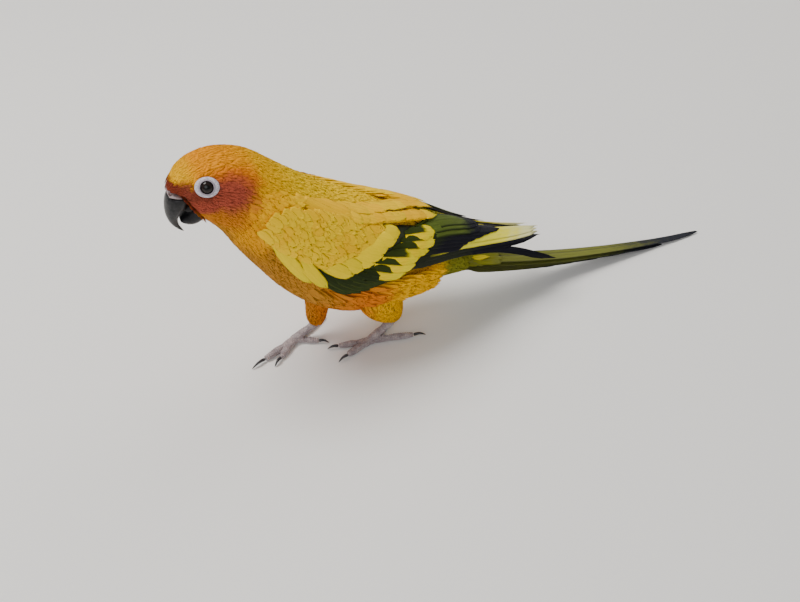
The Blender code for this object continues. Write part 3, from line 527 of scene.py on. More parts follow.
class Coat:
    """Vanes gathered for one piece."""

    def __init__(self, name, rows, columns, seed):
        self.name = name
        self.rows = rows
        self.columns = columns
        self.draw = np.random.default_rng(SEED + seed)
        self.points, self.vane, self.root, self.tone, self.web, self.bake = [], [], [], [], [], []

    def add(self, surface, roots, tips, half_width, lift=(-0.3, 0.8), camber=0.16, neck=0.5,
            round_from=0.65, blunt=0.3, taper=1.0, settle=1.0, tilt=0.0, bow=0.0, ragged=0.05,
            outward=1.0, notch=0.0, level=0.0, shaft=0.0, cells=None):
        """Lay one vane from each root to its tip, both given in the surface's own terms."""
        roots = np.asarray(roots, float)
        tips = np.asarray(tips, float)
        count = len(roots)
        draw = self.draw
        share = np.linspace(0, 1, self.rows + 1)
        share = share ** 0.9 if self.rows < 8 else share
        here = roots[:, None] + (tips - roots)[:, None] * share[None, :, None]
        s, t = here[..., 0], here[..., 1]
        step_s = surface(s + 0.5, t, 0.0) - surface(s - 0.5, t, 0.0)
        step_t = surface(s, t + 0.5, 0.0) - surface(s, t - 0.5, 0.0)
        run = (tips - roots)[:, None, :]
        ahead = unit(step_s * run[..., :1] + step_t * run[..., 1:])
        normal = unit(np.cross(step_t, step_s))
        across = np.cross(normal, ahead)
        widen = neck + (1 - neck) * smooth(share / 0.3)
        widen = widen * (1 + (taper - 1) * share)
        fall = np.clip((share - round_from) / (1 - round_from), 0, 1)
        widen = widen * (np.sqrt(1 - fall**2) * (1 - blunt) + blunt)
        wide = np.asarray(half_width, float).reshape(-1, 1) * np.ones((count, 1)) * widen[None]
        q = np.linspace(-1, 1, self.columns + 1)
        edge = np.ones((count, self.rows + 1, self.columns + 1))
        rim = np.abs(q) > 0.99
        edge[..., rim] += draw.normal(0, ragged, (count, self.rows + 1, rim.sum()))
        if notch:
            cut = draw.random((count, self.rows + 1, rim.sum())) < notch
            edge[..., rim] -= cut * draw.uniform(0.15, 0.4, cut.shape)
        shift = q * wide[..., None] * edge
        sway = bow * np.sin(math.pi * share)
        shift = shift - (sway * outward)[None, :, None]
        slip = np.zeros_like(shift)
        slip[:, -1] = draw.normal(-0.3, 1.0, slip[:, -1].shape) * ragged
        slip[:, 1:-1] = draw.normal(0.0, 0.4, slip[:, 1:-1].shape) * ragged * rim
        long = np.linalg.norm(surface(tips[:, 0], tips[:, 1], 0.0)
                              - surface(roots[:, 0], roots[:, 1], 0.0), axis=-1)
        move = across[:, :, None] * shift[..., None] \
            + ahead[:, :, None] * (slip * long[:, None, None])[..., None]
        ds, dt = solve_move(step_s[:, :, None], step_t[:, :, None], move)
        rise = lift[0] + (lift[1] - lift[0]) * smooth(share / settle)
        web = -q * outward
        high = rise[None, :, None] + np.asarray(level, float).reshape(-1, 1, 1) \
            + (tilt * web)[None, None] * widen[None, :, None] \
            + camber * (1 - q**2)[None, None] * wide[..., None] \
            + shaft * (np.abs(q) < 0.02)[None, None] * (1 - share * 0.6)[None, :, None]
        high = high + draw.normal(0, 0.05, (count, 1, 1))
        points = surface(s[..., None] + ds, t[..., None] + dt, high)
        self.points.append(points.reshape(count, -1, 3))
        along = share[None, :, None] * long[:, None, None] * np.ones_like(shift)
        self.vane.append(np.stack((q * wide[..., None], along, share[None, :, None]
                                   * np.ones_like(shift)), axis=-1).reshape(count, -1, 3))
        self.root.append(points[:, 1:2, self.columns // 2] * np.ones((count, points.shape[1]
                                                                      * points.shape[2], 1)))
        self.tone.append(draw.random((count, 1)) * np.ones((count, points.shape[1] * points.shape[2])))
        self.web.append((web * np.ones_like(shift)).reshape(count, -1))
        patch = np.stack((q * np.ones_like(shift), (share[None, :, None] * 2 - 1)
                          * np.ones_like(shift)), axis=-1).reshape(count, -1, 2)
        self.bake.append((patch, roots, cells))

    def finish(self, finish, slot, *nodes):
        """Make the piece, with its attributes and its map for baking."""
        points = np.concatenate(self.points)
        count, size = points.shape[:2]
        faces, smooth_faces = vane_faces(self.rows, self.columns)
        triangles = (faces[None] + (np.arange(count) * size)[:, None, None]).reshape(-1, 3)
        made = make_piece(self.name, points.reshape(-1, 3), triangles, finish,
                          np.tile(smooth_faces, count))
        mesh = made.data
        for label, kind, values in (
                ("vane", "vector", np.concatenate(self.vane)),
                ("root", "vector", np.concatenate(self.root) * MM + SHIFT),
                ("tone", "value", np.concatenate(self.tone)),
                ("web", "value", np.concatenate(self.web))):
            layer = mesh.attributes.new(label, "FLOAT_VECTOR" if kind == "vector" else "FLOAT", "POINT")
            layer.data.foreach_set(kind, values.astype(np.float32).ravel())
        corners = np.concatenate([bake_patch(*entry) for entry in self.bake]).reshape(-1, 2)
        layer = mesh.uv_layers.new(name="OFBake")
        layer.data.foreach_set("uv", corners[triangles.ravel()].astype(np.float32).ravel())
        dress(made, slot, *nodes)
        return made


def bake_patch(patch, roots, cells):
    """Where vanes lie on the map: by their root's place, or each in a cell of its own."""
    if cells is None:
        low, high = roots.min(axis=0), roots.max(axis=0)
        middle = 0.01 + 0.98 * (roots - low) / np.maximum(high - low, 1e-6)
        return middle[:, None] + patch * 0.0015
    first, across, down = cells
    number = np.arange(len(roots)) + first
    middle = np.stack(((number % across + 0.5) / across, (number // across + 0.5) / down), axis=-1)
    return middle[:, None] + patch * (0.42 / across, 0.46 / down)


def smooth(value):
    value = np.clip(value, 0, 1)
    return value * value * (3 - 2 * value)


def solve_move(step_s, step_t, move):
    """How far a surface's two terms change for a move along the surface."""
    ss = (step_s * step_s).sum(-1)
    st = (step_s * step_t).sum(-1)
    tt = (step_t * step_t).sum(-1)
    ms = (move * step_s).sum(-1)
    mt = (move * step_t).sum(-1)
    whole = np.maximum(ss * tt - st * st, 1e-6)
    return (ms * tt - mt * st) / whole, (mt * ss - ms * st) / whole


def dress(made, slot, *nodes):
    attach(made, "root")
    if nodes:
        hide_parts(*nodes)
    return made


def scatter(surface, start, end, spacing, draw, low=-180.0, high=180.0, loose=1.0):
    """Places spread evenly over a surface, jittered, spacing given in millimetres by place."""
    found = []
    place = start
    row = 0
    while place < end:
        gap = spacing(place)
        angles = np.arange(low, high, 4.0)
        spots = surface(np.full(angles.shape, place), angles, 0.0)
        steps = np.linalg.norm(np.diff(spots, axis=0), axis=-1)
        reach = np.concatenate(([0], np.cumsum(steps)))
        count = max(int(reach[-1] / gap), 3)
        at = (np.arange(count) + 0.5 * (row % 2) + draw.uniform(-0.35, 0.35, count) * loose) / count
        turn = np.interp(at * reach[-1], reach, angles)
        length = np.linalg.norm(surface(place + 0.5, 90.0, 0.0) - surface(place - 0.5, 90.0, 0.0))
        spots = place + draw.uniform(-0.4, 0.4, count) * gap * loose
        found.append(np.column_stack((spots, turn)))
        place += gap * 0.85 / length
        row += 1
    return np.concatenate(found)


def head_for(surface, roots, length, yaw):
    """Tips of feathers of a given length that lie tailward, turned by yaw in radians."""
    s, t = roots[:, 0], roots[:, 1]
    step_s = surface(s + 0.5, t, 0.0) - surface(s - 0.5, t, 0.0)
    step_t = surface(s, t + 0.5, 0.0) - surface(s, t - 0.5, 0.0)
    normal = unit(np.cross(step_t, step_s))
    ahead = unit(step_s)
    aside = np.cross(normal, ahead)
    way = ahead * np.cos(yaw)[:, None] + aside * np.sin(yaw)[:, None]
    ds, dt = solve_move(step_s, step_t, way * length[:, None])
    return roots + np.column_stack((ds, dt))


# ---- skin and coat

def deselect():
    bpy.ops.object.select_all(action="DESELECT")


def activate(made):
    deselect()
    made.select_set(True)
    bpy.context.view_layer.objects.active = made


def add_modifier(made, kind, **settings):
    activate(made)
    modifier = made.modifiers.new(kind.lower(), kind)
    for key, value in settings.items():
        setattr(modifier, key, value)
    bpy.ops.object.modifier_apply(modifier=modifier.name)


def node_copy(name, *nodes):
    """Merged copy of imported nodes, as one mesh."""
    copies = []
    for node in nodes:
        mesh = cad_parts[node].data.copy()
        mesh.materials.clear()
        made = bpy.data.objects.new(name, mesh)
        bpy.context.scene.collection.objects.link(made)
        copies.append(made)
    deselect()
    for made in copies:
        made.select_set(True)
    bpy.context.view_layer.objects.active = copies[0]
    if len(copies) > 1:
        bpy.ops.object.join()
    made = bpy.context.view_layer.objects.active
    made.name = name
    activate(made)
    bpy.ops.object.mode_set(mode="EDIT")
    bpy.ops.mesh.select_all(action="SELECT")
    bpy.ops.mesh.remove_doubles(threshold=0.00001)
    bpy.ops.object.mode_set(mode="OBJECT")
    return made


def swell(made, distance):
    activate(made)
    bpy.ops.object.mode_set(mode="EDIT")
    bpy.ops.mesh.select_all(action="SELECT")
    bpy.ops.transform.shrink_fatten(value=distance)
    bpy.ops.object.mode_set(mode="OBJECT")


def trunk_section(spots):
    """Where points lie along the trunk: place, slope, rise over its middle and its sizes there."""
    place = spots[:, 0].copy()
    for _ in range(12):
        row = rows_at(BODY, place)
        rise = rows_at(BODY, place + 0.5)[:, 1] - rows_at(BODY, place - 0.5)[:, 1]
        place = 0.5 * place + 0.5 * (spots[:, 0] + rise * (spots[:, 2] - row[:, 1]))
    size = np.sqrt(1 + rise**2)
    return place, rise, size, (spots[:, 2] - row[:, 1]) * size, row


def sink_back(made, depth):
    """Bring what stands out of the back, such as the solid vanes, under the small feathers."""
    mesh = made.data
    spots = np.empty(len(mesh.vertices) * 3)
    mesh.vertices.foreach_get("co", spots)
    spots = (spots.reshape(-1, 3) - SHIFT) / MM
    place, rise, size, high, row = trunk_section(spots)
    reach = np.hypot(high / (row[:, 3] - depth), spots[:, 1] / (row[:, 2] - depth))
    out = (high > 0) & (place > -34) & (place < 62) & (reach > 1)
    share = np.where(out, 1 / np.maximum(reach, 1e-6), 1.0)
    inward = np.column_stack((-rise / size * high, spots[:, 1], high / size))
    spots += inward * (share - 1)[:, None]
    mesh.vertices.foreach_set("co", (spots * MM + SHIFT).ravel())
    mesh.update()


def build_skin():
    """One skin under the coat, from the trunk's nodes run together."""
    skin = node_copy("skin", "head", "neck", "torso", "thigh_left", "thigh_right")
    swell(skin, 0.0004)
    add_modifier(skin, "REMESH", mode="VOXEL", voxel_size=0.0009)
    add_modifier(skin, "SMOOTH", factor=0.5, iterations=4)
    swell(skin, -0.0009)
    sink_back(skin, 0.5)
    skin.data.materials.append(skin_finish())
    bpy.ops.object.shade_smooth()
    dress(skin, "body_feathers", "head", "neck", "torso", "thigh_left", "thigh_right")


def ahead_of_face(points, margin):
    """True for points in the notch that carries the bill, or within a margin of it."""
    run = unit(FACE_LOW - FACE_TOP)
    out = np.array((run[1], -run[0]))
    flat = points[:, (0, 2)] - FACE_TOP
    return (flat @ out > margin) & (flat[:, 1] < -flat[:, 0] * FOREHEAD_RISE - margin)


def ring_distance(points, side):
    """Distance from the eye's middle, as a share of the bare ring's half size."""
    spot, facing = eye_frame(side)
    forward = unit(np.cross(np.cross(facing, np.array((-1.0, 0, 0.25))), facing))
    upward = np.cross(forward, facing)
    away = points - spot
    flat = np.stack((away @ forward / RING_LENGTH, away @ upward / RING_HEIGHT), axis=-1)
    near = np.linalg.norm(away, axis=-1) < 14
    return np.where(near, np.linalg.norm(flat, axis=-1), 9.0), flat


def coat_band(name, start, end, spacing, length, half_width, lift, seed, rows, columns, keep,
              finish, yaw_spread=0.14, **shape):
    """A band of small feathers round the trunk."""
    coat = Coat(name, rows, columns, seed)
    roots = scatter(trunk, start, end, spacing, coat.draw)
    roots = roots[keep(roots)]
    points = trunk(roots[:, 0], roots[:, 1], 0.0)
    lengths = length(roots[:, 0]) * coat.draw.uniform(0.85, 1.15, len(roots))
    widths = half_width(roots[:, 0]) * coat.draw.uniform(0.85, 1.15, len(roots))
    yaw = coat.draw.normal(0, yaw_spread, len(roots))
    for side in (1, -1):
        share, flat = ring_distance(points, side)
        beside = (share < 2.2) & (flat[:, 0] > -0.6)
        push = np.sign(flat[:, 1]) * np.clip(2.2 - share, 0, 1.2) * 0.55
        yaw += np.where(beside, push * side, 0.0)
        shorter = np.clip((share - 1.0) * 0.9 + 0.45, 0.45, 1.0)
        lengths *= np.where(share < 3, shorter, 1.0)
        widths *= np.where(share < 3, np.clip(shorter, 0.6, 1.0), 1.0)
    tips = head_for(trunk, roots, lengths, yaw)
    coat.add(trunk, roots, tips, widths, lift=lift, **shape)
    return coat.finish(finish, "body_feathers")


def build_coat():
    """Small feathers of head, neck and trunk, shortest on the face."""
    finish = coat_finish("body_coat")

    def on_head(roots):
        points = trunk(roots[:, 0], roots[:, 1], 0.0)
        free = ~ahead_of_face(points, -0.6)
        for side in (1, -1):
            free &= ring_distance(points, side)[0] > 0.97
        return free

    def not_under_wing(roots):
        edge = rows_at(WING_EDGES, roots[:, 0])
        side = np.abs(roots[:, 1])
        inside = (roots[:, 0] > -24) & (roots[:, 0] < 36)
        return ~(inside & (side > edge[:, 1] + 8) & (side < edge[:, 2] - 10))

    def flat(value):
        return lambda place: np.zeros_like(place) + value

    def between(*pairs):
        places, values = zip(*pairs)
        return lambda place: np.interp(place, places, values)

    coat_band("face_coat", -70.0, -56.0, lambda p: 0.62, between((-70, 2.0), (-56, 3.4)),
              between((-70, 0.42), (-56, 0.6)), (-0.15, 0.06), 1, 4, 2, on_head, finish,
              ragged=0.09, blunt=0.15, round_from=0.4, camber=0.04)
    coat_band("crown_coat", -57.0, -40.0, lambda p: 0.78, between((-56, 3.6), (-40, 4.8)),
              flat(0.66), (-0.2, 0.06), 2, 4, 2, on_head, finish, ragged=0.10, blunt=0.14,
              round_from=0.4, camber=0.03)
    coat_band("neck_coat", -41.5, -18.0, lambda p: 1.12, between((-41, 5.0), (-18, 7.0)),
              between((-41, 0.8), (-18, 1.3)), (-0.25, 0.10), 3, 4, 2,
              lambda roots: roots[:, 0] < 90, finish, ragged=0.12, blunt=0.14, round_from=0.4,
              camber=0.03)
    for name, half, seed in (("breast_coat", 1, 4), ("back_coat", 0, 5)):
        def part(roots, half=half):
            low = np.abs(roots[:, 1]) > 75
            return not_under_wing(roots) & (low if half else ~low)
        coat_band(name, -19.0, 62.0, lambda p: 1.75, between((-19, 7.2), (30, 9.5), (60, 8.0)),
                  between((-19, 1.4), (30, 2.0), (60, 1.7)), (-0.35, 0.18), seed, 5, 4, part, finish,
                  ragged=0.11, blunt=0.14, round_from=0.4, camber=0.03)


def face_wall(place, across, grow):
    """The wall round the bill: place runs from its upper corner down to the chin, in millimetres."""
    place, across, grow = np.broadcast_arrays(place, across, grow)
    run = unit(FACE_LOW - FACE_TOP)
    out = np.array((run[1], -run[0]))
    flat = FACE_TOP + place[..., None] * run + grow[..., None] * out
    return np.stack((flat[..., 0], across.astype(float), flat[..., 1]), axis=-1)


def build_face_rim():
    """The short feathers that turn outward round the foot of the bill."""
    coat = Coat("bill_rim_coat", 4, 2, 12)
    place, across = np.meshgrid(np.arange(1.5, 28.0, 0.75), np.arange(-15.0, 15.1, 0.75))
    roots = np.column_stack((place.ravel(), across.ravel()))
    roots += coat.draw.uniform(-0.3, 0.3, roots.shape)
    points = face_wall(roots[:, 0], roots[:, 1], 0.0)
    high, row = trunk_section(points)[3:]
    reach = np.hypot(high / np.where(high > 0, row[:, 3], row[:, 4]), points[:, 1] / row[:, 2])
    beside_bill = (np.abs(roots[:, 1]) < 6.2) & (points[:, 2] > 90.5) & (points[:, 2] < 106.0)
    roots = roots[(reach < 0.9) & ~beside_bill]
    away = unit(roots - (9.0, 0.0))
    aside = coat.draw.normal(0, 0.25, roots.shape)
    tips = roots + unit(away + aside) * coat.draw.uniform(2.2, 3.2, (len(roots), 1))
    coat.add(face_wall, roots, tips, 0.5, lift=(-0.1, 0.45), ragged=0.1, blunt=0.15,
             round_from=0.4, camber=0.04)
    coat.finish(coat_finish("bill_rim_feathers"), "body_feathers")


def build_flanks():
    """Soft feathers that lie over the front and the lower edge of each folded wing."""
    finish = coat_finish("flank_coat")
    for word, side in (("left", 1), ("right", -1)):
        coat = Coat(word + "_flank", 8, 6, 8 + (side < 0))
        roots = scatter(folded, -8.0, 40.0, lambda p: 1.9, coat.draw, 60.0, 172.0)
        top = np.interp(roots[:, 0], (-8, 2, 8, 16, 27, 38, 48), (124, 119, 108, 99, 93, 88, 84))
        keep = (roots[:, 1] > top) & (roots[:, 1] < top + 56)
        roots, top = roots[keep], top[keep]
        deep = smooth((roots[:, 1] - top - 8 - np.interp(roots[:, 0], (5, 30, 48), (0, 14, 22)))
                      / 20)
        roots[:, 1] *= side
        lengths = (np.interp(roots[:, 0], (24, 40), (14.0, 9.5)) - 4.0 * deep) \
            * coat.draw.uniform(0.85, 1.15, len(roots))
        yaw = (0.16 + coat.draw.normal(0, 0.10, len(roots))) * side
        tips = head_for(folded, roots, lengths, yaw)
        sink = deep * np.interp(roots[:, 0], (-8, 25, 48), (2.6, 3.4, 6.0))
        sink = sink + np.interp(roots[:, 0], (-8, 8), (1.3, 0.0))
        coat.add(folded, roots, tips, 1.7, lift=(-2.6, 0.0), level=0.9 - sink, ragged=0.08,
                 blunt=0.12, round_from=0.35, notch=0.12, camber=0.05)
        coat.finish(finish, "body_feathers")
        coat = Coat(word + "_shoulder", 6, 5, 10 + (side < 0))
        roots = scatter(trunk, -45.0, -30.0, lambda p: 1.25, coat.draw, 50.0, 125.0)
        front = np.interp(roots[:, 1], (50, 60, 72, 86, 99, 112, 125),
                          (-27, -30, -33, -34, -32, -27, -20))
        near = (roots[:, 0] - (front - 9.0)) / 9.0
        roots, near = roots[(near > 0) & (near < 1.0)], near[(near > 0) & (near < 1.0)]
        roots[:, 1] *= side
        lengths = 6.5 * coat.draw.uniform(0.85, 1.15, len(roots))
        tips = head_for(trunk, roots, lengths, coat.draw.normal(0, 0.16, len(roots)))
        coat.add(trunk, roots, tips, 1.0, lift=(-0.3, 0.6), level=1.3 * smooth(near),
                 ragged=0.12, blunt=0.1, round_from=0.35, camber=0.04)
        coat.finish(finish, "body_feathers")


def build_thigh_coat():
    """Feathers of the two thighs, down to the ankle."""
    finish = coat_finish("thigh_coat")
    for name, path, radii, seed in (("left_thigh_coat", LEFT_THIGH, LEFT_THIGH_RADII, 6),
                                    ("right_thigh_coat", RIGHT_THIGH, RIGHT_THIGH_RADII, 7)):
        surface = limb(path, radii)
        coat = Coat(name, 4, 2, seed)
        roots = scatter(surface, 4.0, 94.0, lambda p: 1.4, coat.draw)
        lengths = np.interp(roots[:, 0], (0, 50, 94), (11.0, 6.5, 2.4))
        tips = head_for(surface, roots, lengths * coat.draw.uniform(0.85, 1.15, len(roots)),
                        coat.draw.normal(0, 0.16, len(roots)))
        tips[:, 0] = np.minimum(tips[:, 0], 104.0)
        coat.add(surface, roots, tips, np.interp(roots[:, 0], (0, 94), (1.5, 0.6)),
                 lift=(-0.5, 0.3), ragged=0.14, blunt=0.1, round_from=0.3, camber=0.03)
        coat.finish(finish, "body_feathers")


# ---- wings and tail

# Tiers of the folded left wing: first and last vane as place and angle of root and tip.
TIERS = {
    "primaries": {"ends": ((46, 68, 110, 86), (46, 62, 116, 88)), "count": 3, "half_width": 1.7,
                  "lift": (-1.2, 0.1), "tilt": 0.35, "bow": -5.0, "settle": 0.3,
                  "round_from": 0.8, "taper": 0.6, "far_turn": 0.0},
    "middle_primaries": {"ends": ((15, 84, 103, 31), (17, 77, 108, 22)), "count": 2,
                         "half_width": 3.5, "lift": (-1.0, 0.3), "tilt": 0.35, "bow": 0.0,
                         "settle": 0.3, "round_from": 0.8, "taper": 0.6, "far_turn": 45.0},
    "inner_primaries": {"ends": ((18, 72, 107, 13), (22, 62, 110, -7)), "count": 3,
                        "half_width": 4.1, "lift": (-1.0, 0.45), "tilt": 0.3, "bow": 0.0,
                        "settle": 0.3, "round_from": 0.8, "taper": 0.62, "far_turn": 48.0},
    "secondaries": {"ends": ((22, 60, 57, 50), (28, 41, 84, 8)), "count": 6, "half_width": 3.7,
                    "lift": (-1.0, 0.8), "tilt": 0.35, "bow": 0.0, "settle": 0.3,
                    "round_from": 0.75, "taper": 0.8, "far_turn": 34.0},
    "tertials": {"ends": ((28, 46, 74, 13), (30, 35, 71, -4)), "count": 3, "half_width": 4.0,
                 "lift": (-1.0, 1.1), "tilt": 0.4, "bow": 0.0, "settle": 0.35,
                 "round_from": 0.7, "taper": 0.9, "far_turn": 34.0},
    "primary_coverts": {"ends": ((-16, 104, 6, 110), (-2, 90, 24, 88)), "count": 7,
                        "half_width": 2.5, "lift": (-0.9, 0.4), "tilt": 0.3, "bow": 0.0,
                        "settle": 0.5, "round_from": 0.65, "taper": 0.9, "far_turn": 0.0},
    "greater_coverts": {"ends": ((5, 86, 27, 84), (23, 46, 42, 38)), "count": 6,
                        "half_width": 3.7, "lift": (-0.6, 0.9), "tilt": 0.3, "bow": 0.0,
                        "settle": 0.6, "round_from": 0.6, "taper": 1.0, "far_turn": 0.0,
                        "uneven": 2.2},
    "alula": {"ends": ((-28, 106, -10, 114), (-23, 99, -5, 111)), "count": 2, "half_width": 3.1,
              "lift": (-0.9, 0.8), "tilt": 0.3, "bow": 0.0, "settle": 0.6, "round_from": 0.6,
              "taper": 0.95, "far_turn": 0.0},
    "median_coverts": {"ends": ((-15, 93, 2, 93), (2, 49, 19, 45)), "count": 7,
                       "half_width": 3.8, "lift": (-0.8, 0.9), "tilt": 0.2, "bow": 0.0,
                       "settle": 0.9, "round_from": 0.55, "taper": 1.0, "far_turn": 0.0},
}
# Rows of scapulars: first and last feather, count, half width, and the height of their tips.
SCAPULARS = (
    ((-30, 42, -9, 46), (17, 27, 43, 15), 13, 3.5, (-0.1, 1.6)),
    ((-27, 30, -6, 36), (13, 11, 42, -1), 11, 3.5, (-0.4, 1.7)),
)


def wing_finishes():
    return {
        "primaries": vane_finish("outer_primary_vanes", NAVY, (0.006, 0.006, 0.009), rough=0.42),
        "middle_primaries": vane_finish("middle_primary_vanes", (0.02, 0.024, 0.012), NAVY, 0.4,
                                        0.8, rough=0.42),
        # The inner primaries' tips turn pale grey-yellow: a painted sheen of the light on them.
        "inner_primaries": vane_finish("inner_primary_vanes", PALE_BAND, PAINTED_SHEEN, 0.7, 1.0,
                                       start=DEEP_GREEN, start_to=0.42, quill=0.15, streak=0.15),
        "secondaries": vane_finish("secondary_vanes", DEEP_GREEN, NAVY, 0.25, 0.6, rough=0.45),
        "tertials": vane_finish("tertial_vanes", OLIVE, NAVY, 0.68, 0.92, edge=DEEP_GREEN, streak=0.7),
        "primary_coverts": vane_finish("primary_covert_vanes", DEEP_GREEN, (0.03, 0.045, 0.008),
                                       edge=(0.05, 0.07, 0.008), streak=0.5),
        "greater_coverts": vane_finish("greater_covert_vanes", (0.035, 0.05, 0.008),
                                       (0.90, 0.72, 0.0), 0.58, 0.78, outer=YELLOW, outer_from=0.02,
                                       streak=0.3, quill=0.1),
        "alula": vane_finish("alula_vanes", YELLOW, (0.78, 0.62, 0.0), 0.55, 1.0, quill=0.1,
                             streak=0.12),
        "median_coverts": vane_finish("median_covert_vanes", YELLOW, (0.88, 0.66, 0.0), 0.5, 1.0,
                                      quill=0.08, streak=0.12),
    }


def build_wing(side, word, finishes, small_finish):
    """Each tier of a folded wing, from the flight feathers up to the small coverts."""
    node = "wing_" + word
    for number, (label, tier) in enumerate(TIERS.items()):
        big = number < 5
        rows, columns = (18, 10) if big else (9, 8)
        coat = Coat(word + "_" + label, rows, columns, 20 + number + 40 * (side < 0))
        share = np.linspace(0, 1, tier["count"])[:, None]
        ends = np.array(tier["ends"][0]) * (1 - share) + np.array(tier["ends"][1]) * share
        ends[:, :2] += coat.draw.normal(0, 0.4, (len(ends), 2))
        ends[:, 2] += coat.draw.uniform(-1.0, 1.0, len(ends)) * tier.get("uneven", 1.0)
        ends[:, 3] += 0.0 if side > 0 else tier["far_turn"]
        ends[:, (1, 3)] *= side
        coat.add(folded, ends[:, :2], ends[:, 2:], tier["half_width"], lift=tier["lift"],
                 tilt=tier["tilt"], bow=tier["bow"], settle=tier["settle"],
                 round_from=tier["round_from"], taper=tier["taper"], camber=0.05, blunt=0.12,
                 ragged=0.012, notch=0.03, outward=float(side), level=share[:, 0] * 0.12,
                 shaft=0.18, cells=(0, tier["count"], 1))
        coat.finish(finishes[label], "wing_feathers", node)
    coat = Coat(word + "_lesser_coverts", 8, 6, 60 + (side < 0))
    roots = scatter(folded, -34.0, 4.0, lambda p: 2.5, coat.draw, 36.0, 116.0, 0.6)
    edges = rows_at(WING_EDGES, roots[:, 0])
    last = np.interp(roots[:, 1], (44, 93), (1, -14))
    lowest = np.interp(roots[:, 0], (-33, -22, -10, 6), (108, 101, 92, 80))
    roots = roots[(roots[:, 1] > edges[:, 1] - 3) & (roots[:, 1] < lowest) & (roots[:, 0] < last)]
    roots[:, 1] *= side
    lengths = np.interp(roots[:, 0], (-33, 4), (8.0, 14.0)) * coat.draw.uniform(0.9, 1.1, len(roots))
    tips = head_for(folded, roots, lengths, coat.draw.normal(0, 0.07, len(roots)))
    coat.add(folded, roots, tips, np.interp(roots[:, 0], (-33, 4), (2.2, 3.4)), lift=(-0.4, 0.0),
             camber=0.004, blunt=0.06, round_from=0.25, ragged=0.07, notch=0.16,
             outward=float(side), level=np.interp(roots[:, 0], (-33, 4), (0.0, 0.45)))
    coat.finish(small_finish, "wing_feathers", node)
    build_wing_bed(side, word, node)


def build_wing_bed(side, word, node):
    """The arm under the coverts, as a thin sheet that fills between the vanes."""
    rows, columns = 22, 12
    places = np.linspace(WING_EDGES[0, 0], WING_EDGES[-1, 0], rows + 1)
    edges = rows_at(WING_EDGES, places)
    share = np.linspace(0, 1, columns + 1)
    angles = edges[:, 1:2] * (1 - share) + edges[:, 2:3] * share
    inside = np.minimum(share, 1 - share) * 4
    ends = np.minimum(np.arange(rows + 1), np.arange(rows + 1)[::-1]) / 4
    full = smooth(np.minimum(inside[None], ends[:, None]))
    points = folded(places[:, None] * np.ones_like(angles), angles * side, -1.4 + full * 0.75)
    wide = columns + 1
    faces = []
    for r in range(rows):
        for c in range(columns):
            a = r * wide + c
            faces += [(a, a + 1, a + wide + 1), (a, a + wide + 1, a + wide)]
    faces = np.array(faces)
    if side < 0:
        faces = faces[:, ::-1]
    finish = Paint("wing_bed_" + word, 0.7)
    x, y, z = finish.parts(finish.millimetres(finish.place()))
    # In front the bed is warm yellow darkened to about three quarters: painted shade where it shows in the
    # gaps between the vanes. Behind, it takes the deep green of the flight feathers.
    finish.wear("Base Color", finish.mix(x.ease(3.0, 9.0), (0.70, 0.42, 0.0), DEEP_GREEN))
    bed = make_piece(word + "_wing_bed", points.reshape(-1, 3), faces, finish.material,
                     np.ones(len(faces), bool))
    add_modifier(bed, "SOLIDIFY", thickness=0.0005, offset=-1.0)
    dress(bed, "wing_feathers", node)


def build_scapulars():
    """The long soft feathers of the shoulders that lie over the wings' upper edges."""
    finish = vane_finish("scapular_vanes", WARM_YELLOW, LIME, 0.8, 1.15, streak=0.3, quill=0.2,
                         variety=0.14, blotch=SUN_BLOTCH)
    coat = Coat("scapulars", 14, 8, 80)
    number = 0
    for side in (1, -1):
        for first, last, count, half_width, high in SCAPULARS:
            share = np.linspace(0, 1, count)[:, None]
            ends = np.array(first) * (1 - share) + np.array(last) * share
            ends += coat.draw.normal(0, 0.7, ends.shape)
            ends[:, (1, 3)] *= side
            coat.add(shoulders, ends[:, :2], ends[:, 2:], half_width, lift=(-2.2, 0.0),
                     level=high[0] + (high[1] - high[0]) * share[:, 0], settle=0.9, camber=0.03,
                     blunt=0.08, neck=0.6, round_from=0.4, ragged=0.05, notch=0.12, tilt=0.25,
                     outward=float(side), shaft=0.03, cells=(number, 12, 4))
            number += count
    coat.finish(finish, "body_feathers")


def build_tail():
    """Twelve stepped tail feathers and the coverts over their roots."""
    finish = vane_finish("tail_vanes", (0.17, 0.18, 0.034), (0.022, 0.024, 0.032), 0.60, 0.90,
                         edge=(0.09, 0.095, 0.03), streak=0.5)
    coat = Coat("tail_vanes", 26, 10, 90)
    for pair, tip in enumerate(TAIL_TIPS):
        for side in (-1, 1):
            level = -0.7 * pair
            aside = 0.15 + 0.3 * pair
            if pair == 0:
                aside = -0.8
                level = 1.0 if side < 0 else 0.0
            number = pair * 2 + (side > 0)
            coat.add(tail_plane, [(60.0, -side * -(3.9 + aside))], [(tip, side * (1.64 + aside))],
                     3.9, lift=(level * 0.45, level), settle=0.25, camber=0.09, neck=0.6,
                     round_from=0.9, blunt=0.25, taper=0.42, ragged=0.01, notch=0.02,
                     outward=1.0, shaft=0.15, cells=(number, 12, 1))
    coat.finish(finish, "tail_feathers", "tail")
    cover = Coat("tail_coverts", 9, 8, 91)
    rows = ((70.0, 24.0, 4.2, 4, 1.6), (64.0, 20.0, 4.2, 5, 2.0), (58.0, 17.0, 4.0, 5, 2.6))
    for place, reach, wide, count, high in rows:
        across = (np.arange(count) - (count - 1) / 2) * wide * 0.9
        roots = np.column_stack((np.full(count, place), across))
        tips = np.column_stack((place + reach - 0.8 * np.abs(across), across * 0.9))
        cover.add(tail_plane, roots, tips, wide * 0.75, lift=(high, 1.2), camber=0.12, blunt=0.12,
                  round_from=0.5, ragged=0.02, notch=0.04, shaft=0.1)
    cover.finish(vane_finish("tail_covert_vanes", (0.26, 0.26, 0.016), (0.20, 0.21, 0.03), 0.4, 1.0,
                             streak=0.4), "tail_feathers", "tail")


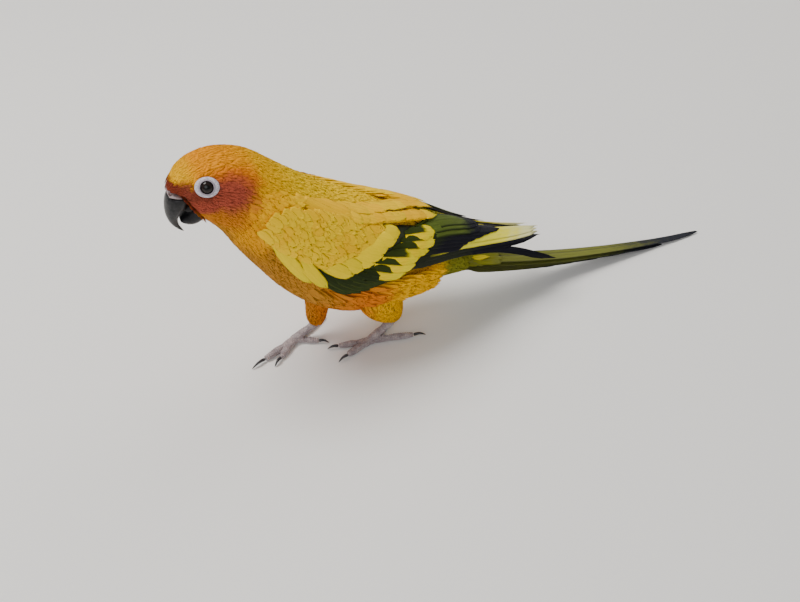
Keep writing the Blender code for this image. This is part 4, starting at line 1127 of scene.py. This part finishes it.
def build_tail_spot():
    """The yellow feather that shows beside the root of the tail."""
    spot = Coat("tail_spot", 10, 8, 92)
    spot.add(tail_plane, [(63.0, -4.2)], [(83.5, -2.2)], 2.2, lift=(0.8, 2.5), camber=0.1, blunt=0.1,
             neck=0.7, round_from=0.5, ragged=0.03, shaft=0.08, cells=(0, 1, 1))
    spot.finish(vane_finish("tail_spot_vane", (0.34, 0.30, 0.014), (0.80, 0.64, 0.01), 0.3, 0.6,
                            streak=0.3), "tail_feathers", "tail")


# ---- bill, eyes and feet

def smooth_copy(name, node, levels, finish, slot, grain=0.0):
    """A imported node's shape, rounded; grain remakes it as an even mesh of that size."""
    made = node_copy(name, node)
    bpy.ops.object.mode_set(mode="EDIT")
    bpy.ops.mesh.select_all(action="SELECT")
    bpy.ops.mesh.tris_convert_to_quads(face_threshold=0.7, shape_threshold=0.7)
    bpy.ops.object.mode_set(mode="OBJECT")
    add_modifier(made, "SUBSURF", levels=levels, render_levels=levels)
    if grain:
        add_modifier(made, "REMESH", mode="VOXEL", voxel_size=grain * MM)
        add_modifier(made, "SMOOTH", factor=0.5, iterations=6)
    bpy.ops.object.shade_smooth()
    made.data.materials.append(finish)
    return dress(made, slot, node)


def horn_finish(name, colour, light, roughness):
    paint = Paint(name, roughness, specular_ior_level=0.3)
    spot = paint.millimetres(paint.place())
    cloud = paint.noise(spot, 0.5, 4.0, 0.6)
    grain = paint.noise(paint.stretch(spot, (1.0, 1.0, 3.0)), 1.5, 3.0)
    paint.wear("Base Color", paint.mix(cloud.ease(0.35, 0.75), colour, light))
    paint.wear("Roughness", grain * 0.2 + (roughness - 0.1))
    paint.bump(grain + cloud, 0.35, 0.0002)
    return paint.material


def cere_finish():
    paint = Paint("cere_flesh", 0.6, subsurface_weight=0.05)
    spot = paint.millimetres(paint.place())
    # Painted shade: a near-black spot on the cere where shade falls inside the nostril.
    hole = paint.blob(spot, (-69.2, 3.4, 106.6), (0.8, 1.3, 0.8), 0.3)
    cloud = paint.noise(spot, 0.7, 3.0)
    colour = paint.mix(cloud, (0.24, 0.17, 0.17), (0.42, 0.33, 0.34))
    paint.wear("Base Color", paint.mix(hole, colour, (0.03, 0.01, 0.01)))
    paint.bump(paint.noise(spot, 2.5, 3.0), 0.4, 0.0002)
    return paint.material


def build_bill():
    horn = horn_finish("bill_charcoal", (0.004, 0.004, 0.005), (0.022, 0.021, 0.023), 0.36)
    smooth_copy("upper_bill", "bill_upper", 2, horn, "bill_horn", 0.25)
    smooth_copy("lower_bill", "bill_lower", 2, horn, "bill_horn", 0.25)
    smooth_copy("cere_skin_band", "cere", 1, cere_finish(), "cere_skin", 0.2)
    deselect()
    bpy.ops.mesh.primitive_uv_sphere_add(segments=32, ring_count=16, radius=MM)
    tongue = bpy.context.active_object
    tongue.name = "tongue"
    bpy.ops.object.mode_set(mode="EDIT")
    bpy.ops.transform.resize(value=(2.7, 5.0, 2.6))
    bpy.ops.object.mode_set(mode="OBJECT")
    bpy.ops.object.shade_smooth()
    place_shape(tongue, Matrix.Translation(Vector(np.array((-62.2, 0.0, 97.6)) * MM + SHIFT)))
    tongue.data.materials.append(horn_finish("mouth_lining", MOUTH_DARK, (0.015, 0.012, 0.012), 0.5))
    dress(tongue, "bill_horn")


def turned_to(spot, facing, upright=(0.0, 0.0, 1.0)):
    """Matrix that puts a shape's Z along facing and its X level and forward."""
    facing = Vector(facing).normalized()
    side = Vector(upright).cross(facing).normalized()
    up = facing.cross(side)
    turn = Matrix((side, up, facing)).transposed().to_4x4()
    return Matrix.Translation(Vector(np.asarray(spot) * MM + SHIFT)) @ turn


def place_shape(made, matrix):
    made.data.transform(matrix)
    made.matrix_world = Matrix.Identity(4)


def build_eye(side, word):
    """Dark glossy ball, the rim of the lids and the bare white ring of skin round them."""
    spot, facing = eye_frame(side)
    deselect()
    bpy.ops.mesh.primitive_uv_sphere_add(segments=40, ring_count=24, radius=EYE_RADIUS * MM)
    ball = bpy.context.active_object
    ball.name = word + "_eyeball"
    bpy.ops.object.shade_smooth()
    place_shape(ball, turned_to(spot - facing * EYE_SUNK, facing))
    paint = Paint(word + "_eye", 0.06, specular_ior_level=0.3)
    centre = tuple((spot + facing * (EYE_RADIUS - EYE_SUNK)) * (1, side * -1, 1))
    iris = paint.blob(paint.millimetres(paint.place()), centre, (2.0, 2.0, 2.0), 0.12)
    colour = paint.mix(iris, (0.010, 0.006, 0.006), (0.016, 0.008, 0.007))
    pupil = paint.blob(paint.millimetres(paint.place()), centre, (1.35, 1.35, 1.35), 0.08)
    paint.wear("Base Color", paint.mix(pupil, colour, (0.002, 0.002, 0.002)))
    ball.data.materials.append(paint.material)
    dress(ball, "eye_dark", "eye_" + word)

    bare = Paint(word + "_bare_ring", 0.55, subsurface_weight=0.05)
    place = bare.millimetres(bare.place())
    creases_and_shade = bare.noise(place, 1.6, 4.0, 0.6)
    # The bare skin is darker lilac-grey where the crease noise is low: painted shade in its creases. The
    # same noise raises the creases' bump.
    bare.wear("Base Color", bare.mix(creases_and_shade.ease(0.3, 0.7), (0.46, 0.40, 0.48), (0.80, 0.75, 0.82)))
    bare.bump(creases_and_shade, 0.8, 0.0006)
    lid = Paint(word + "_lid", 0.45)
    lid.wear("Base Color", (0.36, 0.31, 0.36))
    for label, major, minor, flat, stretch, low, finish in (
            ("ring", 4.0, 0.95, 0.75, (RING_LENGTH / 5.0, RING_HEIGHT / 5.0), 0.3, bare),
            ("lid", 3.05, 0.34, 1.0, (1.0, 1.0), 0.85, lid)):
        deselect()
        bpy.ops.mesh.primitive_torus_add(major_segments=64, minor_segments=16,
                                         major_radius=major * MM, minor_radius=minor * MM)
        made = bpy.context.active_object
        made.name = word + "_eye_" + label
        bpy.ops.object.mode_set(mode="EDIT")
        bpy.ops.transform.resize(value=(stretch[0], stretch[1], flat))
        bpy.ops.object.mode_set(mode="OBJECT")
        bpy.ops.object.shade_smooth()
        for vertex in made.data.vertices:
            along, up = vertex.co.x / MM, vertex.co.y / MM
            vertex.co.z -= (along**2 / 52.0 + up**2 / 30.0) * MM
        place_shape(made, turned_to(spot + facing * low, facing))
        made.data.materials.append(finish.material)
        dress(made, "cere_skin")


def foot_finish():
    paint = Paint("foot_scales", 0.55)
    spot = paint.millimetres(paint.place())
    cells = paint.node("ShaderNodeTexVoronoi", {"feature": "DISTANCE_TO_EDGE"},
                       {"Vector": spot, "Scale": 0.9})
    cloud = paint.noise(spot, 0.4, 3.0)
    colour = paint.mix(cloud.ease(0.3, 0.7), (0.33, 0.27, 0.28), (0.52, 0.44, 0.44))
    line = cells.ease(0.10, 0.0)
    paint.wear("Base Color", paint.mix(line * 0.6, colour, (0.12, 0.09, 0.10)))
    paint.bump(cells.ease(0.0, 0.25), 0.6, 0.0003)
    return paint.material


def build_foot(word, finish, horn):
    """The foot's shape with scutes raised across its toes."""
    foot = node_copy(word + "_foot", "foot_" + word)
    add_modifier(foot, "REMESH", mode="VOXEL", voxel_size=0.00028)
    add_modifier(foot, "SMOOTH", factor=0.5, iterations=5)
    mesh = foot.data
    count = len(mesh.vertices)
    spots = np.empty(count * 3)
    mesh.vertices.foreach_get("co", spots)
    spots = (spots.reshape(-1, 3) - SHIFT) / MM
    normals = np.empty(count * 3)
    mesh.vertex_normals.foreach_get("vector", normals)
    normals = normals.reshape(-1, 3)
    out = np.linalg.norm(spots[:, :2] - HEELS[word], axis=-1)
    band = np.abs(np.sin(out * math.pi / 1.15)) ** 0.5
    upper = smooth((normals[:, 2] + 0.1) / 0.5) * smooth((out - 2.0) / 2.0) * (spots[:, 2] < 7)
    spots += normals * (upper * (band - 0.55) * 0.42)[:, None]
    spots[:, 2] = np.maximum(spots[:, 2], 0.0)
    mesh.vertices.foreach_set("co", (spots * MM + SHIFT).ravel())
    mesh.update()
    activate(foot)
    bpy.ops.object.shade_smooth()
    mesh.materials.append(finish)
    dress(foot, "foot_skin", "foot_" + word)
    for number in range(1, 5):
        node = f"claw_{word}_{number}"
        smooth_copy(node + "_horn", node, 2, horn, "claw_horn")


# ---- the room

def build_room():
    deselect()
    bpy.ops.mesh.primitive_plane_add(size=8.0)
    floor = bpy.context.active_object
    floor.name = "studio_floor"
    paint = Paint("pale_floor", 0.8)
    paint.wear("Base Color", (0.92, 0.91, 0.89))
    floor.data.materials.append(paint.material)
    world = bpy.data.worlds.new("studio_air")
    bpy.context.scene.world = world
    world.use_nodes = True
    world.node_tree.nodes["Background"].inputs["Color"].default_value = (1.0, 0.99, 0.97, 1.0)
    world.node_tree.nodes["Background"].inputs["Strength"].default_value = 0.34
    for name, spot, energy, size, colour in (
            ("window_light", (-0.55, 0.30, 1.15), 14.5, 0.7, (1.0, 0.97, 0.93)),
            ("side_light", (-0.7, -0.9, 0.75), 5.0, 1.0, (0.95, 0.97, 1.0)),
            ("back_light", (0.8, 0.5, 0.7), 3.0, 0.8, (1.0, 0.98, 0.95))):
        light = bpy.data.lights.new(name, "AREA")
        light.energy = energy
        light.size = size
        light.shape = "DISK"
        light.color = colour
        lamp = bpy.data.objects.new(name, light)
        lamp.location = spot
        lamp.rotation_euler = (-Vector(spot)).to_track_quat("-Z", "Y").to_euler()
        bpy.context.scene.collection.objects.link(lamp)
    lens = bpy.data.cameras.new("photo_camera")
    lens.lens = 45.0
    lens.sensor_width = 36.0
    lens.clip_start = 0.01
    camera = bpy.data.objects.new("photo_camera", lens)
    turn = Matrix(((0.9135, -0.4067, 0.0), (0.2614, 0.5872, 0.7660), (-0.3116, -0.6998, 0.6428)))
    camera.matrix_world = Matrix.Translation(Vector(np.array((-121.9, -352.3, 335.2)) * MM + SHIFT)) \
        @ turn.transposed().to_4x4()
    bpy.context.scene.collection.objects.link(camera)
    bpy.context.scene.camera = camera


build_skin()
build_coat()
build_face_rim()
build_thigh_coat()
build_flanks()
finishes = wing_finishes()
lesser = vane_finish("lesser_covert_vanes", WARM_YELLOW, YELLOW, 0.5, 1.6, quill=0.03, streak=0.10,
                     variety=0.07, blotch=SUN_BLOTCH)
for side, word in ((1, "left"), (-1, "right")):
    build_wing(side, word, finishes, lesser)
    build_eye(side, word)
build_scapulars()
build_tail()
build_tail_spot()
build_bill()
scaly = foot_finish()
claw_horn = horn_finish("claw_black", (0.03, 0.03, 0.036), (0.09, 0.085, 0.09), 0.35)
build_foot("left", scaly, claw_horn)
build_foot("right", scaly, claw_horn)
build_room()
